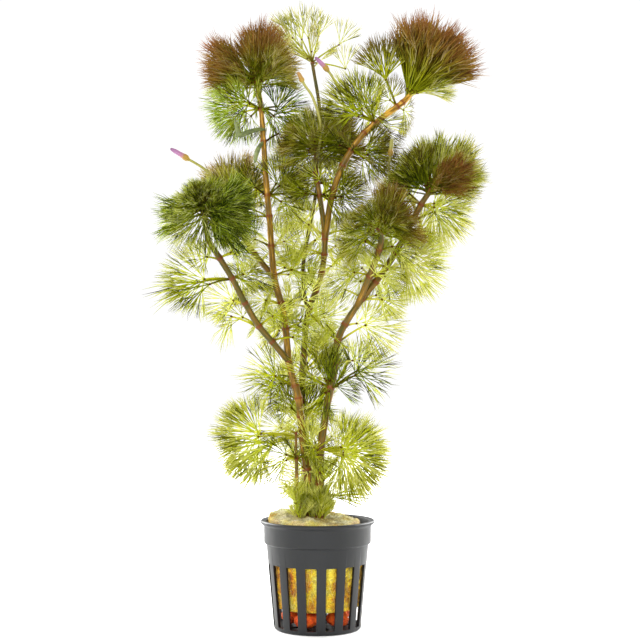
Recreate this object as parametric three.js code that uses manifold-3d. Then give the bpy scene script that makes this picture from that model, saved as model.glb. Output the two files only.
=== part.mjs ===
// Red cabomba, a feathery aquarium plant, in a slotted nursery pot with a mineral wool plug.
// Millimetres, +Z up, -Y towards the viewer, and the origin at the middle of the pot's foot.
// Each leaf is a scalloped fan on a petiole; the leaves at one joint of a stem share a collar.

import * as THREE from "three";
import Module from "manifold-3d";
import { mergeVertices } from "three/addons/utils/BufferGeometryUtils.js";

const wasm = await Module();
wasm.setup();

// Driving dimensions
const POT_HEIGHT = 47.2;
const POT_RIM_R = 25;
const POT_RIM_HEIGHT = 1.4;
const POT_BAND_R = 23.5;
const POT_BAND_Z = 37.6;
const POT_BODY_TOP_R = 22.4;
const POT_BODY_BOTTOM_R = 19;
const POT_FOOT_R = 18.2;
const POT_FOOT_CHAMFER = 0.9;
const POT_WALL = 1.1;
const POT_FLOOR = 1.4;
const SLOTS = 15;
const SLOT_TOP_Z = 28.8;
const SLOT_BOTTOM_Z = 1.9;
const SLOT_TOP_WIDTH = 4.9;
const SLOT_BOTTOM_WIDTH = 4.1;
const FIRST_SLOT_DEG = -97.5;
const DRAINS = 5;
const DRAIN_R = 10;
const DRAIN_SIZE = [8, 2.4, 6];
const WOOL_BOTTOM_Z = 9.6;
const WOOL_SIDES = 14;
const WOOL_HIGH_SIDE_DEG = 150;
const PELLETS = 5;
const PELLET_SIZE = [9.4, 12.2, 7.4];
const PELLET_RING_R = 11.6;
const FIRST_PELLET_DEG = -112;
const GAP = 0.3; // between neighbouring solids
const LEAF_THICK = 0.9;
const PETIOLE_WIDTH = 1.3;
const LEAF_SPREAD_DEG = 150;
const YOUNG_SPREAD_DEG = 54;
const LEAF_CUP = 0.12;
const FAN_EDGE = [[-0.5, 0.94], [-0.33, 0.79], [-0.17, 1], [0, 0.8], [0.17, 1], [0.33, 0.79], [0.5, 0.94]];
const YOUNG_EDGE = [[-0.5, 0.85], [-0.25, 1], [0, 0.8], [0.25, 1], [0.5, 0.85]];
const COLLAR_HEIGHT = 1.6;
const COLLAR_WALL = 0.9;
const COLLAR_SIDES = 4; // a joint is widest towards its two leaves
const TUFT_CORE_R = 2.4;
const STRAP_HALF_THICK = 0.5;
const STEM_SIDES = 6;

const COLOURS = {
  pot: [0x3b3d3f, 0.55],
  wool: [0xb9a34a, 0.95],
  clay: [0xa8451a, 0.9],
  stem: [0xa5702a, 0.45],
  youngLeaf: [0x6b4a22, 0.6],
  greenLeaf: [0x8f9c2c, 0.6],
  paleLeaf: [0xc9c67e, 0.6],
  petal: [0xc58fc0, 0.5],
};

// Stems: the points that each one passes through, with its radius at the root and at the tip.
const STEMS = {
  stem_left: {
    radii: [1.8, 1.2],
    points: [
      [-2.9, -2, 36], [-4.3, -3, 65], [-6.6, -4, 83.9], [-8.3, -4, 100.5], [-12.5, -3, 116.4],
      [-14.7, -1, 136.9], [-19.2, 1, 154.6], [-21.4, 3, 180.8], [-23.1, 4, 199.9], [-25.1, 5, 228],
      [-27.2, 6, 241.5],
    ],
  },
  stem_left_side: {
    radii: [1.4, 1.2],
    points: [
      [-12.5, -3, 116.4], [-18.5, -7, 123.7], [-25.4, -11, 131.9], [-31.1, -15, 141.6], [-36.5, -18, 152.1],
      [-41.6, -21, 160.5], [-46.2, -25, 168.6], [-47.6, -31, 180],
    ],
  },
  stem_left_back: {
    radii: [1.4, 1.1],
    points: [
      [-19, 1, 153.5], [-23.6, 5, 158.8], [-28.1, 10, 164.5], [-31.3, 14, 169.3], [-35.2, 20, 179.8],
      [-37.6, 23, 187],
    ],
  },
  stem_middle: {
    radii: [1.6, 1.2],
    points: [
      [-1.6, 5, 36], [-3.3, 6, 59.3], [-6, 7, 85.9], [-6.9, 8, 103.7], [-5.8, 8, 124.9], [-4, 7, 138.9],
      [1.5, 5, 154.4], [3.3, 3, 170.8], [1, 3, 189.8], [-0.8, 5, 200.2], [-0.2, 8, 212],
    ],
  },
  stem_middle_right: {
    radii: [1.5, 1.3],
    points: [
      [3.3, 3, 170.8], [6.4, 0, 189.3], [11.8, -2, 204], [19.8, -2, 216.1], [27.8, -1, 223.4],
      [37.9, 1, 231.3], [41.4, 2.5, 235.4],
    ],
  },
  stem_middle_back: {
    radii: [1, 0.9],
    points: [
      [-4, 7, 138.9], [-6.5, 11, 150.7], [-5.9, 15, 164.9], [-2.1, 20, 185.3], [1.2, 25, 208.8],
      [1, 29, 232.4], [-2.5, 31, 255.5],
    ],
  },
  stem_right: {
    radii: [1.8, 1.2],
    points: [
      [0.6, -3, 36], [1.1, -4, 73], [3.6, -5, 93.6], [7.2, -6, 112.3], [9.3, -7, 127.1], [17.4, -9, 141],
      [28.3, -11, 155.1], [36.5, -13, 168.4], [44, -15, 183], [49, -17, 190.5],
    ],
  },
  stem_right_side: {
    radii: [1.4, 1.2],
    points: [[17.1, -9, 140.5], [22.4, -15, 153.2], [25.7, -20, 162.2], [27, -23, 168], [25.8, -27, 173]],
  },
  stem_short: {
    radii: [1, 0.8],
    points: [[-7.2, -7, 36.7], [-8.8, -8, 63.7], [-9.2, -9, 79.9], [-9.3, -9, 86]],
  },
};

// Leaves: a row is [azimuth, elevation, petiole, radius, roll, bend, spread], in degrees and millimetres.
// Azimuth 0 is +X and 90 is +Y. At roll 0 a fan stands upright; bend turns it up or down from its petiole.
const WHORLS = {
  leaves_right_low: {
    stem: "stem_right", at: 1.2,
    leaves: [[355, -8, 9, 22, 0, 4, 190], [240, -5, 6, 16, 60, -40]],
  },
  leaves_left_low: {
    stem: "stem_left", at: 2,
    leaves: [[184, 1, 18, 22, 0, -8, 190], [186, -8, 11, 26, 5, -22, 90]],
  },
  leaves_right_second: {
    stem: "stem_right", at: 2.3,
    leaves: [[2, 30, 12, 19, 0, -5, 180], [75, 10, 9, 17, 30, 0]],
  },
  leaves_left_middle: {
    stem: "stem_left", at: 3.35,
    leaves: [[176, 30, 9, 19, 0, -25, 180], [62, -5, 8, 14, 40, 0]],
  },
  leaves_right_middle: {
    stem: "stem_right", at: 3.9,
    leaves: [[0, 32, 13, 21, 5, -25, 170], [250, 15, 7, 16, 50, 0]],
  },
  leaves_side_middle: {
    stem: "stem_left_side", at: 4,
    leaves: [[181, 0, 11, 22, 0, 5, 180], [60, -5, 7, 16, 20, 0]],
  },
  leaves_right_upper: {
    stem: "stem_right", at: 6.15,
    leaves: [[4, 18, 7, 21, 0, -8, 170], [275, -5, 6, 15, 55, 0]],
  },
  leaves_right_top: {
    stem: "stem_right", at: 8.1,
    leaves: [[352, -10, 5, 20, 5, -8]],
  },
  leaves_left_top: {
    stem: "stem_left", at: 9.05,
    leaves: [[182, 14, 8, 20, 0, -5, 170], [5, 10, 6, 18, 10, 30]],
  },
  leaves_arm_high: {
    stem: "stem_middle_right", at: 4.7,
    leaves: [[355, 0, 5, 16, 5, -5], [172, 60, 10, 23, 8, 12, 90]],
  },
  leaves_right_fork: {
    stem: "stem_right", at: 5.2,
    leaves: [[345, 0, 8, 15, 35, -15], [85, 15, 8, 17, 25, 0]],
  },
  leaves_right_high: {
    stem: "stem_right", at: 7.1,
    leaves: [[110, 25, 7, 18, 20, 0]],
  },
  leaves_short: {
    stem: "stem_short", at: 1.6,
    leaves: [[186, -30, 5, 14, 10, 0], [262, 25, 5, 13, 50, 0]],
  },
  leaves_base: {
    stem: "stem_middle", at: 0.95,
    leaves: [[40, 40, 5, 14, 20, 0], [150, 42, 5, 14, 10, 0]],
  },
  leaves_side_low: {
    stem: "stem_left_side", at: 2,
    leaves: [[182, 22, 12, 17, 0, -50, 60], [85, 25, 7, 15, 30, 0]],
  },
  leaves_middle_low: {
    stem: "stem_middle", at: 2.3,
    leaves: [[95, 15, 9, 18, 30, 0], [205, 42, 6, 15, 20, 0]],
  },
  leaves_middle_second: {
    stem: "stem_middle", at: 3.4,
    leaves: [[110, 15, 9, 16, 30, 0], [0, 45, 7, 14, 20, 0]],
  },
  leaves_left_fork: {
    stem: "stem_left", at: 4.7,
    leaves: [[110, 10, 8, 15, 30, 0], [265, 20, 7, 14, 60, 0]],
  },
  leaves_middle_fork: {
    stem: "stem_middle", at: 4.6,
    leaves: [[130, 15, 8, 17, 20, 0], [20, 20, 8, 17, 20, 0]],
  },
  leaves_spur_low: {
    stem: "stem_right_side", at: 1,
    leaves: [[168, 12, 6, 18, 15, 8], [290, 10, 6, 15, 50, 0]],
  },
  leaves_spur_high: {
    stem: "stem_right_side", at: 2.3,
    leaves: [[185, 30, 6, 15, 15, 0], [340, 15, 5, 15, 30, 0]],
  },
  leaves_middle_upper: {
    stem: "stem_middle", at: 6.6,
    leaves: [[172, 18, 8, 17, 10, 0], [50, 30, 8, 17, 15, 0]],
  },
  leaves_left_upper: {
    stem: "stem_left", at: 6.5,
    leaves: [[330, 15, 6, 14, 40, 0], [80, 10, 7, 15, 40, 0]],
  },
  leaves_back_low: {
    stem: "stem_middle_back", at: 1.4,
    leaves: [[176, 20, 8, 18, 5, 0], [70, 10, 8, 17, 30, 0]],
  },
  leaves_back_high: {
    stem: "stem_middle_back", at: 3,
    leaves: [[200, 25, 8, 17, 20, 0], [80, 15, 8, 17, 30, 0]],
  },
  leaves_left_high: {
    stem: "stem_left", at: 7.5,
    leaves: [[345, 40, 6, 17, 20, 0], [200, 35, 6, 16, 30, 0]],
  },
  leaves_middle_high: {
    stem: "stem_middle", at: 8,
    leaves: [[215, 5, 7, 15, 40, 0]],
  },
  leaves_arm_low: {
    stem: "stem_middle_right", at: 2.4,
    leaves: [[275, -5, 6, 15, 50, 0], [350, 5, 7, 19, 10, -5, 100]],
  },
  leaves_arm_middle: {
    stem: "stem_middle_right", at: 3.7,
    leaves: [[110, 72, 8, 18, 20, 0], [260, 25, 6, 15, 40, 0]],
  },
};

// Growing tips: the way that each tuft faces, its rings of young leaves and its finish.
// A ring is [leaves, tilt from the tuft's axis, petiole, radius].
const TUFTS = {
  tuft_top_left: {
    stem: "stem_left", azimuth: 150, elevation: 74, finish: "youngLeaf",
    rings: [[3, 24, 4, 23], [5, 58, 4, 22]],
  },
  tuft_left: {
    stem: "stem_left_side", azimuth: 250, elevation: 46, finish: "greenLeaf",
    rings: [[3, 28, 3, 13], [5, 80, 3, 22]],
  },
  tuft_left_back: {
    stem: "stem_left_back", azimuth: 120, elevation: 70, finish: "youngLeaf",
    rings: [[3, 26, 4, 20], [4, 58, 4, 20]],
  },
  tuft_middle: {
    stem: "stem_middle", azimuth: 50, elevation: 62, finish: "greenLeaf",
    rings: [[3, 28, 3, 15], [5, 68, 3, 19]],
  },
  tuft_top_right: {
    stem: "stem_middle_right", azimuth: 10, elevation: 60, finish: "youngLeaf",
    rings: [[3, 18, 8, 28], [5, 42, 8, 28]],
  },
  tuft_top_back: {
    stem: "stem_middle_back", azimuth: 110, elevation: 80, finish: "paleLeaf",
    rings: [[3, 22, 6, 18], [4, 58, 5, 16]],
  },
  tuft_right: {
    stem: "stem_right", azimuth: 335, elevation: 66, finish: "youngLeaf",
    rings: [[3, 26, 4, 21], [5, 62, 4, 22]],
  },
  tuft_front: {
    stem: "stem_right_side", azimuth: 215, elevation: 60, finish: "greenLeaf",
    rings: [[3, 26, 3, 16], [5, 60, 3, 17]],
  },
};

// Flower buds: the stalk's points from its root to the bud's tip, the bud's length and its widest radius.
const BUDS = {
  bud_left: {
    length: 11, radius: 1.9,
    points: [[-38, 24, 183], [-42.5, 19, 193], [-50, 13.5, 202.3], [-58.4, 10, 207.5], [-66, 9, 211.9]],
  },
  bud_middle: {
    length: 9, radius: 1.6,
    points: [[13.6, 0, 207], [13.5, 5, 222], [10, 8, 237], [5.2, 9, 246.4], [-1.1, 9, 253.1]],
  },
  bud_orange: {
    length: 4, radius: 1.2,
    points: [[-0.4, 7, 206], [1.5, -3, 219], [-1.8, -5, 231.5], [-5.6, -5, 237.7], [-8.6, -5, 243.4]],
  },
  bud_right: {
    length: 6, radius: 1.5,
    points: [[43, -15, 181], [37, -12, 191], [31.4, -9, 199.5], [31.8, -8, 206.5], [32.4, -8, 213.6]],
  },
};

// Floating leaves: narrow straps beside the flowers, with their half width.
const STRAPS = {
  floating_leaf_bent: {
    halfWidth: 1.5,
    points: [
      [-22.6, 4, 217.5], [-27, 1, 220], [-31.5, -1, 218.6], [-34.2, -2, 216.2], [-35.4, -2, 220.5],
      [-36.2, -2, 224],
    ],
  },
  floating_leaf_straight: {
    halfWidth: 1.1,
    points: [[-24.3, 3, 214], [-26, 1, 211], [-27.2, 0, 207.5], [-27.6, 0, 204]],
  },
};

const radians = THREE.MathUtils.degToRad;
const vector = (p) => new THREE.Vector3(...p);

// The unit vector at an azimuth and an elevation in degrees.
function heading(azimuth, elevation) {
  const level = Math.cos(radians(elevation));
  return new THREE.Vector3(
    level * Math.cos(radians(azimuth)),
    level * Math.sin(radians(azimuth)),
    Math.sin(radians(elevation)),
  );
}

// A three.js geometry as a solid, with its shared vertices merged.
function solidOf(geometry) {
  const bare = geometry.clone();
  bare.deleteAttribute("normal");
  bare.deleteAttribute("uv");
  const merged = mergeVertices(bare, 1e-4);
  return new wasm.Manifold(
    new wasm.Mesh({
      numProp: 3,
      vertProperties: new Float32Array(merged.attributes.position.array),
      triVerts: new Uint32Array(merged.index.array),
    }),
  );
}

// A solid as a three.js geometry.
function geometryOf(solid) {
  const mesh = solid.getMesh();
  const positions = new Float32Array(mesh.numVert * 3);
  for (let i = 0; i < mesh.numVert; i++) {
    positions.set(mesh.vertProperties.subarray(i * mesh.numProp, i * mesh.numProp + 3), i * 3);
  }
  const geometry = new THREE.BufferGeometry();
  geometry.setAttribute("position", new THREE.BufferAttribute(positions, 3));
  geometry.setIndex(new THREE.BufferAttribute(new Uint32Array(mesh.triVerts), 1));
  geometry.computeVertexNormals();
  return geometry;
}

function indexed(positions, index) {
  const geometry = new THREE.BufferGeometry();
  geometry.setAttribute("position", new THREE.Float32BufferAttribute(positions.flat(), 3));
  geometry.setIndex(index.flat());
  return geometry;
}

// A closed skin over rings that hold the same number of points, each ring anticlockwise seen from the next.
function loft(rings) {
  const count = rings[0].length;
  const last = (rings.length - 1) * count;
  const index = [];
  for (let start = 0; start < last; start += count) {
    for (let i = 0; i < count; i++) {
      const a = start + i;
      const b = start + ((i + 1) % count);
      index.push(a, b, b + count, a, b + count, a + count);
    }
  }
  for (let i = 1; i + 1 < count; i++) {
    index.push(0, i + 1, i, last, last + i, last + i + 1);
  }
  return indexed(rings.flat().map((p) => [p.x, p.y, p.z]), index);
}

// A ring of points round a centre, across the direction `along`.
function ringAcross(centre, along, halfWidth, halfDepth, sides) {
  const side = new THREE.Vector3(0, 1, 0).addScaledVector(along, -along.y).normalize();
  const other = new THREE.Vector3().crossVectors(along, side);
  return Array.from({ length: sides }, (_, i) => {
    const angle = (i / sides) * 2 * Math.PI;
    return centre
      .clone()
      .addScaledVector(side, halfDepth * Math.cos(angle))
      .addScaledVector(other, halfWidth * Math.sin(angle));
  });
}

const smoothThrough = (points) => new THREE.CatmullRomCurve3(points.map(vector), false, "catmullrom", 0.5);

// The place, direction and radius of a stem at point number `at`.
function onStem(name, at) {
  const { points, radii } = STEMS[name];
  const share = at / (points.length - 1);
  const curve = smoothThrough(points);
  return {
    place: curve.getPoint(share),
    along: curve.getTangent(share),
    radius: THREE.MathUtils.lerp(radii[0], radii[1], share),
  };
}

function stemSolid(name, grow) {
  const { points } = STEMS[name];
  const rings = points.map((_, i) => {
    const { place, along, radius } = onStem(name, i);
    return ringAcross(place, along, radius + grow, radius + grow, STEM_SIDES);
  });
  return solidOf(loft(rings));
}

// The outline of a leaf that lies along +X: a petiole that opens into a scalloped fan.
function leafOutline(petiole, radius, bend, spread) {
  const fanEdge = spread > YOUNG_SPREAD_DEG ? FAN_EDGE : YOUNG_EDGE;
  const half = PETIOLE_WIDTH / 2;
  const neck = petiole - 1.5 * half;
  const outline = [[0, half], [0, -half], [neck, -half]];
  for (const [turn, share] of fanEdge) {
    const angle = radians(turn * spread + bend);
    outline.push([petiole + radius * share * Math.cos(angle), radius * share * Math.sin(angle)]);
  }
  outline.push([neck, half]);
  return outline.map((p) => new THREE.Vector2(...p));
}

// How far a leaf's fan is cupped below its petiole, at each point of its outline.
function cupping(outline, petiole, radius) {
  return outline.map(({ x, y }) => (LEAF_CUP * (Math.max(x - petiole, 0) ** 2 + y ** 2)) / radius);
}

// One leaf: its outline is a thin edge, and it is thickest along the petiole and at the fan's hub.
function leafGeometry(petiole, radius, bend, spread) {
  const outline = leafOutline(petiole, radius, bend, spread);
  const drop = cupping(outline, petiole, radius);
  const thick = LEAF_THICK / 2;
  const last = outline.length - 1;
  const [footTop, footUnder, hubTop, hubUnder] = [1, 2, 3, 4].map((step) => last + step);
  const positions = outline.map(({ x, y }, i) => [x, y, -drop[i]]);
  positions.push([0, 0, thick], [0, 0, -thick], [petiole, 0, thick], [petiole, 0, -thick]);
  const index = [
    [0, 1, footTop], [1, 0, footUnder],
    [1, 2, hubTop], [1, hubTop, footTop], [0, footTop, hubTop], [0, hubTop, last],
    [1, footUnder, hubUnder], [1, hubUnder, 2], [0, hubUnder, footUnder], [0, last, hubUnder],
  ];
  for (let i = 2; i < last; i++) {
    index.push([i, i + 1, hubTop], [i + 1, i, hubUnder]);
  }
  return indexed(positions, index);
}

// An anticlockwise outline with every side pushed outwards.
function grownOutline(outline, grow) {
  return outline.map((point, i) => {
    const into = point.clone().sub(outline.at(i - 1)).normalize();
    const onwards = outline[(i + 1) % outline.length].clone().sub(point).normalize();
    const outwards = new THREE.Vector2(into.y + onwards.y, -into.x - onwards.x);
    return point.clone().addScaledVector(outwards, grow / (1 + into.dot(onwards)));
  });
}

// The room that a leaf takes from its neighbours: a slab over its outline, larger all round.
function leafRoom(petiole, radius, bend, spread, grow) {
  const outline = leafOutline(petiole, radius, bend, spread);
  const drop = cupping(outline, petiole, radius);
  const faces = THREE.ShapeUtils.triangulateShape(outline, []);
  const edge = grownOutline(outline, grow);
  const count = edge.length;
  const positions = [-1, 1].flatMap((side) =>
    edge.map(({ x, y }, i) => [x, y, side * (LEAF_THICK / 2 + grow) - drop[i]]),
  );
  const index = faces.map(([a, b, c]) => [c, b, a, a + count, b + count, c + count]);
  for (let a = 0; a < count; a++) {
    const b = (a + 1) % count;
    index.push([a, b, b + count, a, b + count, a + count]);
  }
  return indexed(positions, index);
}

// A leaf set at `place`, growing along `out`, with its fan spread along `across`.
function leafSolid(place, out, across, shape, grow) {
  const side = across.clone().addScaledVector(out, -across.dot(out)).normalize();
  const face = new THREE.Vector3().crossVectors(out, side);
  const frame = new THREE.Matrix4().makeBasis(out, side, face).setPosition(place);
  const leaf = grow ? leafRoom(...shape, grow) : leafGeometry(...shape);
  return solidOf(leaf.applyMatrix4(frame));
}

// A collar round a stem, or without its hole where it is grown to cut its neighbours.
function collarSolid(place, along, radius, grow) {
  const hole = (radius + 1.2 * GAP) / Math.cos(Math.PI / COLLAR_SIDES);
  const inner = grow ? 0 : hole;
  const outer = hole + COLLAR_WALL + grow;
  const half = COLLAR_HEIGHT / 2 + grow;
  const profile = [[inner, -half], [outer, -half], [outer, half], [inner, half]];
  if (inner) {
    profile.push(profile[0]);
  }
  const ring = new THREE.LatheGeometry(profile.map((p) => new THREE.Vector2(...p)), COLLAR_SIDES);
  const turn = new THREE.Quaternion().setFromUnitVectors(new THREE.Vector3(0, 1, 0), along);
  ring.applyMatrix4(new THREE.Matrix4().makeRotationFromQuaternion(turn).setPosition(place));
  return solidOf(ring);
}

function whorlSolid(name, grow) {
  const { stem, at, leaves } = WHORLS[name];
  const { place, along, radius } = onStem(stem, at);
  const pieces = leaves.map(([azimuth, elevation, petiole, fan, roll, bend, spread = LEAF_SPREAD_DEG]) => {
    const out = heading(azimuth, elevation);
    const across = heading(azimuth, elevation + 90).applyAxisAngle(out, radians(roll));
    const sideways = out.clone().addScaledVector(along, -out.dot(along)).normalize();
    const foot = place.clone().addScaledVector(sideways, radius + 1.5 * GAP + COLLAR_WALL / 3);
    return leafSolid(foot, out, across, [petiole, fan, bend, spread], grow);
  });
  return wasm.Manifold.union([collarSolid(place, along, radius, grow), ...pieces]);
}

function tuftSolid(name, grow) {
  const { stem, azimuth, elevation, rings } = TUFTS[name];
  const { place, along } = onStem(stem, STEMS[stem].points.length - 1);
  const axis = heading(azimuth, elevation);
  const side = heading(azimuth, elevation + 90);
  const core = place.clone().addScaledVector(along, TUFT_CORE_R + GAP);
  const middle = new THREE.OctahedronGeometry(TUFT_CORE_R + grow).translate(core.x, core.y, core.z);
  const pieces = [solidOf(middle)];
  rings.forEach(([count, tilt, petiole, radius], row) => {
    for (let i = 0; i < count; i++) {
      const spoke = side.clone().applyAxisAngle(axis, ((i + row / 2) / count) * 2 * Math.PI);
      const across = new THREE.Vector3().crossVectors(axis, spoke);
      const out = axis.clone().applyAxisAngle(across, radians(tilt));
      const foot = core.clone().addScaledVector(out, TUFT_CORE_R / 2);
      pieces.push(leafSolid(foot, out, across, [petiole, radius, 0, YOUNG_SPREAD_DEG], grow));
    }
  });
  return wasm.Manifold.union(pieces);
}

// A flower bud on its stalk: a thin stalk that swells into the calyx and narrows to the petals' tip.
function budSolid(name, grow) {
  const { points, length, radius } = BUDS[name];
  const curve = smoothThrough(points);
  const budStart = 1 - length / curve.getLength();
  const stations = [
    [0, 0.7], [budStart * 0.33, 0.6], [budStart * 0.66, 0.6], [budStart, 0.8],
    [budStart + (1 - budStart) * 0.2, radius], [budStart + (1 - budStart) * 0.6, radius * 0.8], [1, 0.4],
  ];
  const rings = stations.map(([share, r]) =>
    ringAcross(curve.getPointAt(share), curve.getTangentAt(share), r + grow, r + grow, STEM_SIDES),
  );
  return solidOf(loft(rings));
}

function strapSolid(name, grow) {
  const { points, halfWidth } = STRAPS[name];
  const curve = smoothThrough(points);
  const last = points.length - 1;
  const rings = points.map((_, i) => {
    const width = i === 0 || i === last ? 0.5 : 1;
    const [place, along] = [curve.getPoint(i / last), curve.getTangent(i / last)];
    return ringAcross(place, along, halfWidth * width + grow, STRAP_HALF_THICK + grow, 4);
  });
  return solidOf(loft(rings));
}

// The pot: a thin tapered cup with a wide band and a rolled lip, slots down its wall and drains in its floor.
function potSolid() {
  const outside = [
    [0, 0], [POT_FOOT_R, 0], [POT_BODY_BOTTOM_R, POT_FOOT_CHAMFER], [POT_BODY_TOP_R, POT_BAND_Z - 1],
    [POT_BAND_R, POT_BAND_Z], [POT_BAND_R, POT_HEIGHT - POT_RIM_HEIGHT - 1],
    [POT_RIM_R, POT_HEIGHT - POT_RIM_HEIGHT], [POT_RIM_R, POT_HEIGHT],
  ];
  const inside = [
    [POT_BAND_R - POT_WALL, POT_HEIGHT], [POT_BODY_TOP_R - POT_WALL, POT_BAND_Z - 1],
    [POT_BODY_BOTTOM_R - POT_WALL, POT_FLOOR], [0, POT_FLOOR],
  ];
  const profile = [...outside, ...inside].map((p) => new THREE.Vector2(...p));
  const cup = new THREE.LatheGeometry(profile, 2 * SLOTS).rotateX(Math.PI / 2);

  const slot = new THREE.Shape([
    new THREE.Vector2(-SLOT_BOTTOM_WIDTH / 2, SLOT_BOTTOM_Z),
    new THREE.Vector2(SLOT_BOTTOM_WIDTH / 2, SLOT_BOTTOM_Z),
    new THREE.Vector2(SLOT_TOP_WIDTH / 2, SLOT_TOP_Z),
    new THREE.Vector2(-SLOT_TOP_WIDTH / 2, SLOT_TOP_Z),
  ]);
  const cutter = new THREE.ExtrudeGeometry(slot, { depth: POT_RIM_R, bevelEnabled: false });
  cutter.translate(0, 0, POT_FOOT_R - 4 * POT_WALL).rotateX(Math.PI / 2).rotateZ(Math.PI / 2);
  const drain = new THREE.BoxGeometry(...DRAIN_SIZE).translate(DRAIN_R, 0, 0);

  let pot = solidOf(cup);
  for (let i = 0; i < SLOTS; i++) {
    pot = pot.subtract(solidOf(cutter.clone().rotateZ(radians(FIRST_SLOT_DEG + (i * 360) / SLOTS))));
  }
  for (let i = 0; i < DRAINS; i++) {
    pot = pot.subtract(solidOf(drain.clone().rotateZ(radians((i * 360) / DRAINS))));
  }
  return pot;
}

// The wool plug: it fills the pot and stands proud at the back left, with a gap at the lip on the right.
// A row is one ring of it: its height, radius, shift towards +X and rise towards its high side.
function woolSolid() {
  const rows = [
    [WOOL_BOTTOM_Z, 18.3, 0, 0], [35.6, 20.7, 0, 0], [39.5, 20.4, -0.8, 0.5],
    [POT_HEIGHT, 19.6, -2, 1.4], [48.9, 16, -2.4, 1.8], [49, 7, -2.4, 1],
  ];
  const rings = rows.map(([z, r, shift, rise]) =>
    Array.from({ length: WOOL_SIDES }, (_, i) => {
      const angle = (i / WOOL_SIDES) * 2 * Math.PI;
      const lift = rise * Math.cos(angle - radians(WOOL_HIGH_SIDE_DEG));
      return new THREE.Vector3(shift + r * Math.cos(angle), r * Math.sin(angle), z + lift);
    }),
  );
  return solidOf(loft(rings));
}

function pelletSolid(i) {
  const angle = radians(FIRST_PELLET_DEG + (i * 360) / PELLETS);
  const pellet = new THREE.SphereGeometry(0.5, 7, 4).rotateX(Math.PI / 2);
  pellet.scale(...PELLET_SIZE).rotateZ(angle);
  const centreZ = POT_FLOOR + GAP + PELLET_SIZE[2] / 2;
  return solidOf(pellet.translate(PELLET_RING_R * Math.cos(angle), PELLET_RING_R * Math.sin(angle), centreZ));
}

// The largest single body of a solid: a leaf that a neighbour cuts across loses its loose end.
function largestBody(solid) {
  return solid.decompose().sort((a, b) => b.volume() - a.volume())[0];
}

const object = new THREE.Group();
const cutters = []; // what is already placed, each grown by the gap

function place(name, solid, [colour, roughness]) {
  const material = new THREE.MeshStandardMaterial({ color: colour, roughness, metalness: 0 });
  const mesh = new THREE.Mesh(geometryOf(solid), material);
  mesh.name = name;
  object.add(mesh);
}

// Places a solid once everything placed before it is cut away with a gap.
function placeClear(name, make, finish) {
  let solid = make(0);
  for (const cutter of cutters) {
    if (solid.intersect(cutter).volume() > 0) {
      solid = solid.subtract(cutter);
    }
  }
  place(name, largestBody(solid), finish);
  cutters.push(make(GAP));
}

for (const name of Object.keys(STEMS)) {
  placeClear(name, (grow) => stemSolid(name, grow), COLOURS.stem);
}
const plantedStems = cutters.slice();
for (const name of Object.keys(BUDS)) {
  placeClear(name, (grow) => budSolid(name, grow), COLOURS.petal);
}
for (const name of Object.keys(STRAPS)) {
  placeClear(name, (grow) => strapSolid(name, grow), COLOURS.greenLeaf);
}
for (const name of Object.keys(TUFTS)) {
  placeClear(name, (grow) => tuftSolid(name, grow), COLOURS[TUFTS[name].finish]);
}
for (const name of Object.keys(WHORLS)) {
  placeClear(name, (grow) => whorlSolid(name, grow), COLOURS.greenLeaf);
}
place("pot", potSolid(), COLOURS.pot);
place("wool_plug", plantedStems.reduce((wool, stem) => wool.subtract(stem), woolSolid()), COLOURS.wool);
for (let i = 0; i < PELLETS; i++) {
  place(`clay_pellet_${i + 1}`, pelletSolid(i), COLOURS.clay);
}

export default object;
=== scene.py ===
"""Red cabomba in a slotted nursery pot: stems, forked leaves, growing tips and flower buds."""

import math

import bpy
import numpy as np
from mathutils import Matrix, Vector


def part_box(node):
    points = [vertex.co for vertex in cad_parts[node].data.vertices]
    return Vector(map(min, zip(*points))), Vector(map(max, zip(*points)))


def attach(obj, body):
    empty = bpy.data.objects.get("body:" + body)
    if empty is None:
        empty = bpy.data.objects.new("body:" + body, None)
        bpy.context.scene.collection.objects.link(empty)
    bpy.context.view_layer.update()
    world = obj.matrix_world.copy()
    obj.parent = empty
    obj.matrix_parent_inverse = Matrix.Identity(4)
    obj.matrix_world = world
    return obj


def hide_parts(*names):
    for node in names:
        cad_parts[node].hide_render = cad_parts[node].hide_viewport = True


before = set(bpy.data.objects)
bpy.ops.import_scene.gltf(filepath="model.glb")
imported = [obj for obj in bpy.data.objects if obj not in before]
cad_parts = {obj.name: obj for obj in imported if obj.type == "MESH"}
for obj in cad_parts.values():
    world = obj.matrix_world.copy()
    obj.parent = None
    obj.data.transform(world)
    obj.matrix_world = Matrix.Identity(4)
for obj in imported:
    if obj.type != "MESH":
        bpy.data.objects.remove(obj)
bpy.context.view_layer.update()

# Camera
# It stands about 0.6 m in front of the plant, a little below its middle, and looks slightly up. It is 1 mm to
# the right, because the pot stands that much left of the picture's middle.
EYE = (0.0011, -0.597, 0.118)
LOOKS_UP = math.radians(1.605)
lens = bpy.data.cameras.new("camera")
lens.lens = 76.3
lens.sensor_width = 36
lens.clip_start = 0.01
camera = bpy.data.objects.new("camera", lens)
camera.location = EYE
camera.rotation_euler = (math.pi / 2 + LOOKS_UP, 0, 0)
bpy.context.scene.collection.objects.link(camera)
bpy.context.scene.camera = camera

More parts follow.
